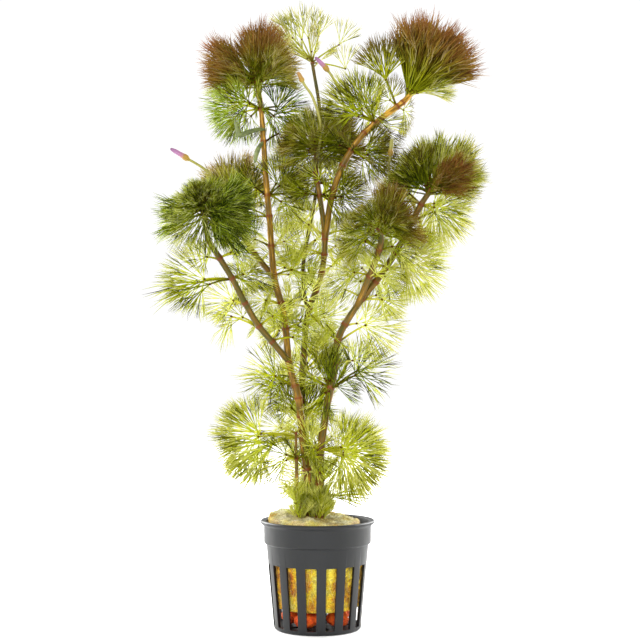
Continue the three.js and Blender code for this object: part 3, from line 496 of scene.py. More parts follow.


# Leaves
# Each leaf is a flat fan of round threads on a stalk, forked up to three times like a river's mouth and limp
# out of water. They grow in pairs and threes at the stems' joints, and each stalk ends in a red-brown knot.

# A whorl is its stem, its place along it, how light it is and how red its tips are, its leaves, the number
# of leaves that aren't listed and the other joints that bear them, on the same stem where none is named.
# A leaf is its azimuth, elevation, stalk, reach, roll, bend and how it is held, and for some how light it is
# and how much of the darker, bluer shade green it takes, which is partly painted shade.
WHORLS = {
    "leaves_right_low": ("stem_right", 1.2, 0.88, 0.35, [
        (355, -8, 9, 24.5, 0, 4, "full", 0.85), (0, -22, 9, 24, -15, 0, "full", 0.95),
        (350, 8, 8, 22.5, 18, -12, "full", 0.8), (5, -2, 10, 21, -25, 8, "full", 1),
        (352, -14, 9, 24, 25, -8, "full", 0.9), (240, 12, 5, 14, 20, 10, "open"),
    ], 7, [0.85]),
    "leaves_left_low": ("stem_left", 2, 0.9, 0.35, [
        (184, 0, 18, 24, 0, -8, "full", 0.9), (186, -8, 11, 28, 5, -22, "half", 0.95),
        (184, 4, 17, 23, 14, 10, "half", 0.85), (182, 5, 17, 23, -16, -3, "full", 1),
        (190, -14, 12, 27.5, -12, -10, "half", 0.95),
    ], 0, []),
    "leaves_right_second": ("stem_right", 2.6, 0.5, 0.35, [
        (2, 36, 13, 21, 0, -14, "sparse"), (356, 30, 11, 19, 14, 0, "sparse", 0.35, 0.3),
        (75, 10, 9, 17, 30, 0, "open"), (300, 10, 4, 15, 40, 0, "open", 0.35, 0.4),
        (250, 76, 2, 20, 0, 0, "folded", 0.38, 0.1), (215, 72, 3, 18, 40, 0, "folded", 0.45, 0),
        (280, 74, 3, 20, 0, 0, "folded", 0.32, 0.2), (190, 66, 4, 18, 60, 0, "folded", 0.5, 0),
        (300, 70, 4, 18, 20, 0, "folded", 0.34, 0.3), (235, 84, 3, 20, 10, 0, "folded", 0.45, 0),
        (200, 20, 3, 15, 20, 0, "folded", 0.5, 0), (240, -60, 2, 16, 20, 0, "folded", 0.4, 0.2),
        (200, -55, 3, 16, 50, 0, "folded", 0.5, 0),
    ], 2, []),
    "leaves_left_middle": ("stem_left", 3.35, 0.78, 0.35, [
        (176, 30, 9, 20, 0, -25, "sparse"), (62, -5, 8, 14, 40, 0, "open"),
    ], 1, [3, 2.5]),
    "leaves_right_middle": ("stem_right", 3.9, 0.78, 0.35, [
        (0, 32, 13, 21, 5, -25, "full"), (250, 15, 7, 16, 50, 0, "open"),
    ], 3, [4.4, 3.2]),
    "leaves_side_middle": ("stem_left_side", 4, 0.72, 0.35, [
        (181, 0, 11, 22, 0, 5, "full", 0.8), (186, -14, 9, 20, 15, 0, "half"),
        (184, -6, 14, 26, 0, -6, "limp", 0.5), (60, -5, 7, 16, 20, 0, "open"),
    ], 7, [5, 3]),
    "leaves_right_upper": ("stem_right", 6.15, 1, 0.35, [
        (4, 18, 8, 23, 0, -8, "full"), (10, 2, 8, 19, 15, 0, "full"), (275, -5, 6, 15, 55, 0, "open"),
    ], 4, [6.6]),
    "leaves_right_top": ("stem_right", 8.1, 0.8, 0.3, [
        (352, -10, 5, 20, 5, -8, "full", 0.95), (6, -30, 6, 20, 14, 0, "full", 0.9),
        (345, 8, 5, 18, -10, 0, "open", 0.8), (165, 45, 6, 17, 10, 0, "open", 0.4),
        (150, 10, 8, 17, 10, 0, "open", 0.45),
    ], 5, [7.6]),
    "leaves_left_top": ("stem_left", 9.05, 0.5, 0.3, [
        (182, 14, 8, 20, 0, -5, "full", 0.85, 0.5), (5, 10, 6, 18, 10, 30, "open", 0.25, 0.7),
        (170, 30, 5, 20, 15, 0, "full", 0.75, 0.3), (255, 34, 4, 13, 0, 0, "open", 0.45, 0.2),
        (290, -30, 4, 13, 30, 0, "open", 0.5, 0.4), (196, -14, 7, 19, -20, 0, "full", 0.85, 0.5),
        (350, -12, 6, 17, 0, 40, "open", 0.25, 0.7), (0, -45, 5, 17, 0, 0, "open", 0.35, 0.3),
        (215, 24, 6, 18, 25, 0, "open", 0.5), (350, -34, 6, 15, 20, 20, "open", 0.35),
        (200, -42, 5, 14, 0, 0, "open", 0.45),
    ], 2, [8.5]),
    "leaves_arm_high": ("stem_middle_right", 4.7, 0.45, 1.5, [
        (60, 0, 6, 16, 5, -5, "open", 0.7), (180, 68, 12.2, 23, 0, 18, "half", 0.58, 0),
        (172, 69, 12, 22, 15, 2, "half", 0.55, 0), (188, 67, 12, 22, -15, 30, "half", 0.62, 0),
        (120, 34, 6, 14, 10, 44, "open", 0.8),
    ], 0, []),
    "leaves_right_fork": ("stem_right", 5.2, 1, 0.35, [
        (345, 0, 8, 15, 35, -15, "open"), (85, 15, 8, 17, 25, 0, "open"),
    ], 4, [5.7]),
    "leaves_right_high": ("stem_right", 7.1, 0.92, 0.35, [
        (110, 25, 7, 18, 20, 0, "open"), (150, 50, 8, 18, 0, 0, "open", 0.45),
    ], 4, []),
    "leaves_short": ("stem_short", 1.6, 0.7, 0.35, [
        (188, -12, 4, 15, 10, -26, "half", 0.85), (262, 25, 5, 13, 50, 0, "half"),
    ], 4, [2.9]),
    "leaves_base": ("stem_middle", 0.95, 0.95, 0.2, [
        (40, 40, 5, 14, 20, 0, "open"), (150, 42, 5, 14, 10, 0, "open"), (2, -8, 8, 22, 0, 8, "limp", 0.4),
        (350, -4, 9, 20, 10, 6, "limp", 0.6), (184, 14, 3, 14, 0, 0, "limp", 0.8),
    ], 120, [
        ("stem_left", 0.34), ("stem_right", 0.27), ("stem_middle", 0.42), ("stem_right", 0.34),
        ("stem_left", 0.42), ("stem_right", 0.28), ("stem_right", 0.44), ("stem_left", 0.36),
        ("stem_middle", 0.7), ("stem_right", 0.7), ("stem_right", 0.3), ("stem_left", 1.2),
        ("stem_short", 0.34), ("stem_short", 0.6), ("stem_right", 0.38),
    ]),
    "leaves_side_low": ("stem_left_side", 2, 0.76, 0.35, [
        (182, 22, 12, 17, 0, -95, "limp"), (85, 25, 7, 15, 30, 0, "open"),
    ], 5, [1.2]),
    "leaves_middle_low": ("stem_middle", 2.3, 0.6, 0.35, [
        (95, 15, 9, 18, 30, 0, "open"), (205, 42, 6, 15, 20, 0, "open"),
        (300, 70, 3, 18, 0, 0, "folded", 0.38, 0.1), (240, 75, 3, 18, 30, 0, "folded", 0.46, 0),
        (0, 62, 3, 17, 20, 0, "folded", 0.4, 0), (180, 60, 3, 15, 0, 0, "folded", 0.55, 0),
        (270, -60, 3, 15, 60, 0, "folded", 0.45, 0), (330, -55, 4, 16, 0, 0, "folded", 0.5, 0),
        (220, -50, 3, 13, 40, 0, "folded", 0.5, 0),
    ], 6, [2.7, 1.9]),
    "leaves_middle_second": ("stem_middle", 3.4, 0.88, 0.35, [
        (110, 15, 9, 16, 30, 0, "open"), (0, 45, 7, 14, 20, 0, "open"),
        (320, 60, 4, 18, 0, 0, "folded", 0.85, 0), (20, 70, 4, 18, 30, 0, "folded", 0.8, 0),
        (340, 20, 4, 16, 40, 0, "folded", 0.85, 0), (350, -30, 4, 15, 20, 0, "folded", 0.8, 0),
    ], 6, [3.7, 3.1]),
    "leaves_left_fork": ("stem_left", 4.7, 0.9, 0.35, [
        (110, 10, 8, 15, 30, 0, "open"), (265, 20, 7, 14, 60, 0, "open"),
    ], 9, [5.3]),
    "leaves_middle_fork": ("stem_middle", 4.6, 0.9, 0.35, [
        (130, 15, 8, 17, 20, 0, "open"), (20, 20, 8, 17, 20, 0, "open"),
    ], 4, [5.1, 5.6]),
    "leaves_spur_low": ("stem_right_side", 1, 0.9, 0.35, [
        (168, 12, 6, 18, 15, 8, "open"), (290, 10, 6, 15, 50, 0, "open"),
    ], 4, []),
    "leaves_spur_high": ("stem_right_side", 2.3, 0.45, 0.8, [
        (185, 30, 6, 15, 15, 0, "open"), (340, 15, 5, 15, 30, 0, "open"),
    ], 6, []),
    "leaves_middle_upper": ("stem_middle", 6.6, 0.85, 0.35, [
        (172, 18, 8, 17, 10, 0, "open"), (50, 30, 8, 17, 15, 0, "open"),
    ], 5, [6.1, 7.1]),
    "leaves_left_upper": ("stem_left", 6.5, 0.85, 0.4, [
        (330, 15, 6, 14, 40, 0, "open"), (180, 25, 7, 15, 10, 0, "open", 0.35),
        (80, 10, 7, 15, 40, 0, "open"),
    ], 5, [("stem_left", 6), ("stem_left_back", 2)]),
    "leaves_back_low": ("stem_middle_back", 1.4, 1, 0.35, [
        (176, 20, 8, 18, 5, 0, "open"), (70, 10, 8, 17, 30, 0, "open"),
    ], 4, [2.2]),
    "leaves_back_high": ("stem_middle_back", 3, 1, 0.35, [
        (200, 25, 8, 17, 20, 0, "open"), (80, 15, 8, 17, 30, 0, "open"),
    ], 5, [3.7]),
    "leaves_left_high": ("stem_left", 7.5, 0.5, 0.35, [
        (345, 40, 6, 17, 20, 0, "open"), (200, 35, 6, 16, 30, 0, "open"), (0, 5, 6, 17, 10, 0, "open", 0.35),
        (350, -30, 6, 17, 0, 0, "open", 0.5), (20, 60, 6, 18, 0, 0, "open", 0.4),
    ], 4, [7]),
    "leaves_middle_high": ("stem_middle", 8, 0.4, 0.7, [
        (215, 5, 7, 15, 40, 0, "open"), (300, -20, 6, 16, 30, 0, "open", 0.32),
        (335, -12, 7, 16, 0, 0, "open", 0.3),
    ], 9, [9, 8.5]),
    "leaves_arm_low": ("stem_middle_right", 2.4, 0.4, 1.1, [
        (275, -5, 6, 15, 50, 0, "open"), (350, 5, 6, 15, 10, -5, "half", 0.35),
        (12, -12, 5, 13, 20, 0, "half", 0.35), (0, 16, 5, 14, -20, 0, "half", 0.32),
        (330, -32, 6, 16, 20, 0, "open", 0.34), (355, 4, 7, 17, 0, 0, "full", 0.28),
        (5, 24, 6, 15, 20, 0, "half", 0.28), (345, -14, 7, 16, -15, 0, "half", 0.3),
    ], 5, [1.2]),
    "leaves_arm_middle": ("stem_middle_right", 3.7, 0.6, 0.5, [
        (110, 72, 8, 18, 20, 0, "open"), (260, 25, 6, 15, 40, 0, "open"),
        (172, 50, 8, 23, 0, -6, "open", 0.66), (165, 36, 6, 24, 15, 6, "half", 0.55),
        (188, 64, 7, 19, -15, 0, "half", 0.58), (178, 20, 7, 21, 10, 14, "half", 0.7),
    ], 3, [3.1]),
}
# The leaves that aren't listed: azimuths from and over, elevations, stalks, reaches and how they are held
MORE_LEAVES = (340, 220, (-5, 40), (4, 9), (13, 18), "open")
LEAVES_AT_FEET = (0, 360, (56, 88), (0.6, 2.2), (9, 15), "folded")
LEAF_TURN = 137.5  # degrees from each of them to the next
TURN_VARIES, ROLL_VARIES = 25, 70
# Painted light and shade: the leaves behind the stems are painted up to this much paler, and those in front
# this much darker, to make up for the shade of the leaves in front.
BACK_PAINTED_LIGHT = 0.14  # how much lighter the leaves behind the stems are
TONE_VARIES, OWN_VARIES = 0.22, 0.06
# The most of the darker, bluer shade green that an unlisted leaf takes at random: partly painted shade.
MOST_SHADE = 0.15
LEAF_STALK_R = 0.42
STALK_FOOT = 0.7  # a stalk starts this share of the stem's radius from its middle
STALK_DARKER = 0.1
STALK_BOW = 0.04
STALK_TAPER = (1.15, 0.85)
STALK_REDNESS = (0.8, 0.25, 0.2, 0.3)
KNOT_REACH, KNOT_WIDTHS, KNOT_REDNESS = 1.3, (0.8, 1.4, 0.5), 0.92
LEAF_CUP = 0.12
LEAF_SAG = 0.05
# A leaf's threads, from its hub to their tips: radius, how far towards the tip each fork lies, how tones vary
THREAD_RADII = (0.0165, 0.013, 0.0106, 0.009)
FORK_STEPS = (0.15, 0.25, 0.36)
FORK_TONES = (0.1, 0.22, 0.34)
FORK_WANDER, THREAD_SWAY = 0.16, 0.06
FIRST_LENGTH, LENGTH_VARIES, LONGEST = 0.97, (0.9, 1.08), 1.02
STEP_VARIES = (0.85, 1.15)
ONE_FORK_MORE = 0.2  # how often a thread parts into one more than its pattern says
EDGE_FALL = 0.1  # how much shorter a leaf is at its edges
LEAF_SHAPES = {  # how a leaf is held: first seed, patterns, spread in degrees, rays, forks, fold, thickness
    "full": (60, 9, 200, 6, [(3, 3, 3)], 0.06, 0.78),
    "open": (20, 9, 185, 5, [(3, 2, 3), (3, 3, 2)], 0.05, 0.85),
    "half": (80, 9, 85, 3, [(3, 2, 3)], 0.09, 1),
    "sparse": (90, 9, 180, 5, [(2, 2, 2)], 0.05, 1.05),
    "airy": (30, 9, 80, 3, [(2, 2, 2)], 0.1, 1),
    "limp": (70, 3, 50, 3, [(2, 2)], 0.05, 1),
    "folded": (40, 9, 50, 3, [(3, 2, 2)], 0.12, 0.85),
}


def heading(azimuth, elevation):
    """The unit vector at an azimuth and an elevation in degrees."""
    level = math.cos(math.radians(elevation))
    turn = math.radians(azimuth)
    return np.array((level * math.cos(turn), level * math.sin(turn), math.sin(math.radians(elevation))))


def rotated(vector, axis, angle):
    """A vector turned about a unit axis by an angle in radians."""
    return (
        vector * math.cos(angle)
        + np.cross(axis, vector) * math.sin(angle)
        + axis * (axis @ vector) * (1 - math.cos(angle))
    )


def leaf_axes(azimuth, elevation, roll, bend):
    """The directions of a leaf's stalk, and along and across its blade, which may be bent aside."""
    out = heading(azimuth, elevation)
    across = rotated(heading(azimuth, elevation + 90), out, math.radians(roll))
    face = np.cross(out, across)
    return out, *(rotated(v, face, math.radians(bend)) for v in (out, across))


def on_stem(name, at):
    """The place, direction and radius of a stem at point number at."""
    first, last, _, _, points = STEMS[name]
    ends = np.clip([at - 0.02, at + 0.02], 0, len(points) - 1)
    near, far = run_through(points, ends)
    along = (far - near) / np.linalg.norm(far - near)
    return run_through(points, at)[0], along, first + (last - first) * at / (len(points) - 1)


def fan_pattern(seed, spread, rays, splits, fold, fineness):
    """A leaf of unit reach along +X from its hub: its threads as thin tubes, pointed where they end."""
    chance = np.random.default_rng(seed)
    threads = []

    def fork(start, low, high, level, tone, length):
        middle = (low + high) / 2 + chance.uniform(-FORK_WANDER, FORK_WANDER) * (high - low)
        length = min(length * chance.uniform(*LENGTH_VARIES), LONGEST)
        reach = (1 - EDGE_FALL * abs(middle) / spread * 2) * length
        tip = reach * np.array((math.cos(middle), math.sin(middle), fold * chance.normal()))
        ends = level == len(splits)
        end = tip if ends else start + (tip - start) * FORK_STEPS[level] * chance.uniform(*STEP_VARIES)
        sway = np.cross(end - start, (0, 0, 1)) * chance.normal(0, THREAD_SWAY)
        threads.append((start, (start + end) / 2 + sway, end, level, tone))
        if not ends:
            parts = splits[level] + (chance.random() < ONE_FORK_MORE)
            for k in range(parts):
                cuts = low + (high - low) * np.array((k, k + 1)) / parts
                fork(end, *cuts, level + 1, tone + chance.normal(0, FORK_TONES[level]), length)

    for k in range(rays):
        cuts = spread * (np.array((k, k + 1)) / rays - 0.5)
        fork(np.zeros(3), *cuts, 0, chance.normal(0, 0.05), FIRST_LENGTH)
    paths = np.array([thread[:3] for thread in threads])
    levels, tones = (np.array([thread[place] for thread in threads]) for place in (3, 4))
    pointed = levels == len(splits)
    wide = fineness * np.array(THREAD_RADII)
    rings = np.stack([paths[:, 0], np.where(pointed[:, None], paths[:, 1], paths[:, 2])], axis=1)
    narrowed = np.where(pointed, 0.85 * wide[levels], wide[(levels + 1) % len(wide)])
    widths = np.stack([wide[levels], narrowed], axis=1)
    runs = paths[:, 2] - paths[:, 0]
    side = np.cross(runs, (0, 0, 1))
    side /= np.linalg.norm(side, axis=1)[:, None]
    over = np.cross(side, runs)
    over /= np.linalg.norm(over, axis=1)[:, None]
    turns = angles_round(3)
    spokes = np.cos(turns)[:, None] * side[:, None] + np.sin(turns)[:, None] * over[:, None]
    corners = rings[:, :, None] + widths[:, :, None, None] * spokes[:, None]
    corners = np.concatenate([corners.reshape(-1, 3), paths[pointed, 2]])
    walls, points = [], []
    for k in range(3):
        nxt = (k + 1) % 3
        walls += [(k, 3 + nxt, nxt), (k, 3 + k, 3 + nxt)]
        points.append((3 + k, 3 + nxt))
    starts = 6 * np.arange(len(threads))
    faces = (starts[:, None, None] + np.array(walls)).reshape(-1, 3)
    edges = (starts[pointed][:, None, None] + np.array(points)).reshape(-1, 2)
    apexes = np.repeat(6 * len(threads) + np.arange(pointed.sum()), 3)
    return {
        "corners": corners,
        "along": np.linalg.norm(corners, axis=1),
        "tone": np.concatenate([np.repeat(tones, 6), tones[pointed]]),
        "faces": np.concatenate([faces, np.stack([edges[:, 0], apexes, edges[:, 1]], axis=1)]),
    }


def leaf_thread(name, greens, shaded, tips, glow):
    """Leaf tissue a few cells thick: damp and thin enough to glow with light from behind. Leaves in shade
    take a darker, bluer green, partly the real colour of shade-grown leaves and partly painted shade.
    """
    material, shader = add_material(name)
    along, tone, blush, joint, cool = (
        add_node(material, "Attribute", settings={"attribute_name": label}).outputs["Fac"]
        for label in ("along", "tone", "blush", "joint", "cool")
    )
    colour, shaded_green, red = (
        add_node(material, "ValToRGB", {"Fac": place}, stops=stops).outputs["Color"]
        for place, stops in ((tone, greens), (tone, shaded), (along, tips))
    )
    mix = {"data_type": "RGBA"}
    # Painted shade, partly real: a leaf's share of the darker, bluer shade green replaces some of its own
    # green.
    for share, other in ((cool, shaded_green), (blush, red), (joint, paint("#5e2812"))):
        colour = add_node(material, "Mix", {"Factor": share, 6: colour, 7: other}, mix).outputs[2]
    fill_sockets(material, shader, {
        "Base Color": colour, "Roughness": 0.5, "IOR": 1.4, "Specular IOR Level": 0.05,
    })
    through = add_node(material, "BsdfTranslucent", {"Color": colour})
    both = add_node(
        material, "MixShader", {"Fac": glow, 1: shader.outputs["BSDF"], 2: through.outputs["BSDF"]},
    )
    fill_sockets(material, material.node_tree.nodes["Material Output"], {"Surface": both.outputs["Shader"]})
    return material


class Threads:
    """The threads, stalks and knots of one piece, gathered before they become one mesh."""

    def __init__(self):
        self.corners, self.faces, self.count = [], [], 0
        self.values = {"along": [], "tone": [], "cool": [], "blush": [], "joint": []}

    def add(self, corners, faces, **values):
        self.corners.append(corners)
        self.faces += [tuple(i + self.count for i in face) for face in faces]
        self.count += len(corners)
        for label, kept in self.values.items():
            kept.append(np.broadcast_to(values.get(label, 0.0), len(corners)))

    def piece(self, name, material, node, slot):
        kept = {label: np.concatenate(parts) for label, parts in self.values.items()}
        made = add_piece(name, np.concatenate(self.corners), self.faces, material, kept)
        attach(made, "root")
        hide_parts(node)


def lay_fan(threads, pattern, hub, out, across, reach, tone, cool, blush, sag=LEAF_SAG):
    """Lays a leaf's threads out from its hub, cupped a little and sagging under their own weight."""
    face = np.cross(out, across)
    x, y, z = (pattern["corners"] * reach).T
    square = (x**2 + y**2) / reach
    corners = hub + np.outer(x, out) + np.outer(y, across) + np.outer(z - LEAF_CUP * square, face)
    corners[:, 2] -= sag * square
    threads.add(
        corners, pattern["faces"],
        along=pattern["along"], tone=np.clip(pattern["tone"] + tone, 0, 1), cool=cool, blush=blush,
    )


def lay_stalk(threads, foot, hub, out, radius, tone):
    """A leaf's stalk from the stem to its hub, with the knot where its threads part."""
    middle = (foot + hub) / 2 + np.array((0, 0, STALK_BOW * np.linalg.norm(hub - foot)))
    path = run_through([foot, middle, hub], np.linspace(0, 2, 4))
    corners, faces = tube(path, np.linspace(*STALK_TAPER, 4) * radius, 4)
    threads.add(corners, faces, along=0.1, tone=tone, joint=np.repeat(STALK_REDNESS, 4))
    knot = [hub - KNOT_REACH * radius * out, hub, hub + KNOT_REACH * radius * out]
    corners, faces = tube(knot, np.array(KNOT_WIDTHS) * radius, 5)
    threads.add(corners, faces, tone=tone, joint=KNOT_REDNESS)


shapes = {
    held: [
        fan_pattern(seed + k, math.radians(spread), rays, forks[k % len(forks)], fold, thickness)
        for k in range(count)
    ]
    for held, (seed, count, spread, rays, forks, fold, thickness) in LEAF_SHAPES.items()
}
green_leaf = leaf_thread(
    "submerged leaf",
    [(0.05, "#40480e"), (1, "#f4f490"), (0.3, "#868e14"), (0.58, "#c8ce20"), (0.8, "#e4e640")],
    [(0.05, "#1c3420"), (1, "#bce048"), (0.35, "#44701a"), (0.65, "#78b412")],
    [(0.4, "#948628"), (1, "#8a7048")],
    0.6,
)
joints_on = {name: list(BARE_JOINTS.get(name, [])) for name in STEMS}
for seed, (name, (stem, at, light, red, rows, more, others)) in enumerate(WHORLS.items()):
    chance = np.random.default_rng(300 + seed)
    bearing = [(stem, at)] + [other if isinstance(other, tuple) else (stem, other) for other in others]
    for other, number in bearing:
        joints_on[other].append(number)
    start, over, rises, stalks, reaches, manner = LEAVES_AT_FEET if name == "leaves_base" else MORE_LEAVES
    first_turn = chance.uniform(0, 360)
    extra = [
        (
            start + (first_turn + LEAF_TURN * k + chance.uniform(-TURN_VARIES, TURN_VARIES)) % over,
            chance.uniform(*rises), chance.uniform(*stalks), chance.uniform(*reaches),
            chance.uniform(-ROLL_VARIES, ROLL_VARIES), 0, manner,
        )
        for k in range(more)
    ]
    threads = Threads()
    for number, (azimuth, elevation, stalk, reach, roll, bend, held, *own) in enumerate(rows + extra):
        place, along, radius = on_stem(*bearing[0 if number < len(rows) else number % len(bearing)])
        out, fan_out, fan_across = leaf_axes(azimuth, elevation, roll, bend)
        sideways = out - along * (out @ along)
        foot = place + sideways / np.linalg.norm(sideways) * radius * STALK_FOOT
        hub = foot + out * stalk
        pattern = shapes[held][chance.integers(len(shapes[held]))]
        tone = own[0] if own else light + BACK_PAINTED_LIGHT * math.sin(math.radians(azimuth))
        tone += chance.normal(0, OWN_VARIES if own else TONE_VARIES)
        cool = own[1] if len(own) > 1 else chance.uniform(0, MOST_SHADE)
        lay_stalk(threads, foot, hub, out, LEAF_STALK_R, tone - STALK_DARKER)
        blush = np.clip(red * pattern["along"] ** 2, 0, 1)
        lay_fan(threads, pattern, hub, fan_out, fan_across, reach, tone, cool, blush)
    threads.piece(name + "_threads", green_leaf, name, "leaf_green")

# Growing tips
# At each stem's end the joints are crowded and their young leaves, still half folded, stand in a dense brush.
# Strong light has turned the tips that reach the surface red-brown. Lower and shaded ones stay dark green.

# A growing tip is its stem, its slot and its brushes of leaves. A brush is its azimuth, elevation, tilt,
# number of leaves, reach inside and outside, how light and red they are, and how much of the darker,
# bluer shade green they take, which is partly painted shade.
TUFTS = {
    "tuft_top_left": ("stem_left", "leaf_young", [
        (179, 26, 21, 32, 30, 26, 0.38, 0.85, 0), (30, 84, 26, 40, 28, 25.5, 0.38, 0.9, 0),
        (345, 34, 32, 22, 23, 25, 0.7, 0.45, 0), (265, 30, 40, 12, 15, 18, 0.3, 0.5, 0),
    ]),
    "tuft_left": ("stem_left_side", "leaf_green", [
        (250, 50, 36, 36, 11, 16, 0, 0.1, 0), (250, 54, 98, 60, 12, 27, 0.62, 0.05, 0.15),
        (187, -15, 20, 3, 27, 27, 0.5, 0, 0.3), (335, -6, 44, 36, 25, 28, 0.42, 0, 0.35),
    ]),
    "tuft_left_back": ("stem_left_back", "leaf_young", [
        (120, 70, 62, 30, 28, 26, 0.72, 0.6, 0),
    ]),
    "tuft_middle": ("stem_middle", "leaf_green", [
        (80, 68, 84, 50, 19, 23, 0.48, 0.35, 0), (5, 24, 30, 18, 24, 25, 0.45, 0.5, 0),
        (190, 10, 34, 14, 20, 24, 0.5, 0.4, 0),
    ]),
    "tuft_top_right": ("stem_middle_right", "leaf_young", [
        (5, 64, 28.5, 52, 37, 38, 0.42, 0.95, 0), (350, 32, 12, 9, 36, 35, 0.5, 0.7, 0),
        (350, 8, 18, 4, 22, 21, 0.85, 0.1, 0),
    ]),
    "tuft_top_back": ("stem_middle_back", "leaf_pale", [
        (110, 78, 60, 4, 19, 17, 0.95, 0.3, 0),
    ]),
    "tuft_right": ("stem_right", "leaf_young", [
        (185, 50, 38, 32, 22, 27, 0.22, 0.2, 0.15), (306, 18, 17, 20, 25, 25, 0.26, 0.85, 0),
        (350, 32, 30, 32, 27, 28, 0.66, 0.12, 0), (40, 70, 30, 18, 26, 26, 0.55, 0.15, 0.1),
    ]),
    "tuft_front": ("stem_right_side", "leaf_green", [
        (215, 60, 85, 34, 14, 20, 0.44, 0.4, 0.1), (340, 35, 50, 20, 15, 21, 0.4, 0.5, 0.1),
        (20, 40, 50, 26, 18, 27, 0.4, 0.8, 0),
    ]),
}
SPRAYS = [  # the thin pale leaves at the back's tip: azimuth, elevation, stalk, reach, roll, bend
    (182, 36, 13, 19, 20, 18), (176, 52, 15, 17, -10, 2), (178, 45, 10, 19, 0, 8), (176, 66, 12, 20, 12, 4),
    (150, 80, 12, 18, 30, 0), (20, 76, 13, 16, 10, 4), (3, -10, 15.7, 16, 0, 105), (182, 26, 9, 18, 6, 14),
    (2, 34, 15, 17, 0, 30), (60, 66, 11, 16, 40, 0), (140, 50, 9, 17, 30, 0),
]
TUFT_RISE, TUFT_DEPTH = 2.4, 6  # the inner leaves' feet above the stem's end, and the outer ones' below those
TUFT_STALK, TUFT_STALK_R = (3, 5), 0.33
TUFT_TWIST, TUFT_UNEVEN = 0.9, (0.8, 1.04)
TUFT_BLUSH = (0.35, 0.75)  # the share of its redness at its sides, and how much more there is along its axis
SPRAY_STALK_R = 0.36
GOLDEN_TURN = math.pi * (3 - math.sqrt(5))

young_leaf = leaf_thread(
    "young leaf",
    [(0.05, "#3c480e"), (1, "#e6e49c"), (0.3, "#78840c"), (0.5, "#a6ae14"), (0.8, "#d0d44c")],
    [(0.05, "#1c3014"), (1, "#a4cc50"), (0.35, "#30601c"), (0.65, "#5c9c20")],
    [(0.2, "#867014"), (1, "#b27452"), (0.55, "#8f6426"), (0.85, "#a26838")],
    0.45,
)
for seed, (name, (stem, slot, brushes)) in enumerate(TUFTS.items()):
    chance = np.random.default_rng(500 + seed)
    place, along, radius = on_stem(stem, len(STEMS[stem][4]) - 1)
    threads = Threads()
    for azimuth, elevation, widest, count, inner, outer, light, red, cool in brushes:
        axis, side = heading(azimuth, elevation), heading(azimuth, elevation + 90)
        for k in range(count):
            share = (k + 0.5) / count
            tilt = math.acos(1 - share * (1 - math.cos(math.radians(widest))))
            tangent = np.cross(axis, rotated(side, axis, k * GOLDEN_TURN))
            out = rotated(axis, tangent, tilt)
            across = rotated(tangent, out, chance.uniform(-TUFT_TWIST, TUFT_TWIST))
            reach = (inner + (outer - inner) * share) * chance.uniform(*TUFT_UNEVEN)
            stalk = chance.uniform(*TUFT_STALK)
            foot = place + along * (TUFT_RISE - TUFT_DEPTH * share**1.5)
            hub = foot + out * stalk
            pattern = shapes["folded"][chance.integers(len(shapes["folded"]))]
            lay_stalk(threads, foot, hub, out, TUFT_STALK_R, light)
            reddened = red * (TUFT_BLUSH[0] + TUFT_BLUSH[1] * max(out @ axis, 0)) * pattern["along"] ** 0.8
            blush = np.clip(reddened + chance.normal(0, 0.06), 0, 1)
            tone = light + chance.normal(0, 0.1)
            lay_fan(threads, pattern, hub, out, across, reach - stalk, tone, cool, blush, 0.0)
    for azimuth, elevation, stalk, reach, roll, bend in SPRAYS if name == "tuft_top_back" else []:
        out, fan_out, fan_across = leaf_axes(azimuth, elevation, roll, bend)
        hub = place + out * stalk
        lay_stalk(threads, place, hub, out, SPRAY_STALK_R, 0.7)
        pattern = shapes["airy"][chance.integers(len(shapes["airy"]))]
        lay_fan(threads, pattern, hub, fan_out, fan_across, reach, 0.95, 0.1, 0.25 * pattern["along"])
    threads.piece(name + "_threads", young_leaf, name, slot)

# The stems' skins
# Soft green tissue under a smooth damp skin, with a swollen red-brown joint wherever leaves grow. It is amber
# on the older parts and olive on those in shade.
STEM_FINE = 40  # places between two of a stem's points, for measuring along it
STEM_STEP = 0.75
STEM_SIDES = 12
STEM_UNEVEN = 0.04
JOINT_SWELL = 0.22
JOINT_LENGTH = 0.75
GRAIN_LENGTH = 9


def living_stem():
    """Soft green stem: a smooth damp skin over translucent tissue, streaked lengthwise, dark at joints."""
    material, shader = add_material("living stem")
    grain, amber, joint = (
        add_node(material, "Attribute", settings={"attribute_name": label}).outputs
        for label in ("grain", "amber", "joint")
    )
    streaks = add_node(
        material, "TexNoise", {"Vector": grain["Vector"], "Scale": 1.6, "Detail": 4},
    ).outputs["Fac"]
    mixed = add_node(
        material, "Math", {0: streaks, 1: 1.7, 2: -0.85}, {"operation": "MULTIPLY_ADD"},
    ).outputs["Value"]
    warmth = add_node(material, "Math", {0: amber["Fac"], 1: mixed}, {"operation": "ADD"}).outputs["Value"]
    skin = add_node(
        material, "ValToRGB", {"Fac": warmth},
        stops=[
            (0.05, "#3c400c"), (1, "#cc9c38"), (0.3, "#4c440c"), (0.5, "#60480e"), (0.7, "#785812"),
            (0.85, "#98721e"),
        ],
    ).outputs["Color"]
    colour = add_node(
        material, "Mix", {"Factor": joint["Fac"], 6: skin, 7: paint("#6a2c06")}, {"data_type": "RGBA"},
    ).outputs[2]
    fill_sockets(material, shader, {
        "Base Color": colour, "Roughness": 0.34, "IOR": 1.42, "Specular IOR Level": 0.3,
        "Subsurface Weight": 0.05, "Subsurface Radius": (0.8 * MM, 0.6 * MM, 0.2 * MM),
    })
    return material


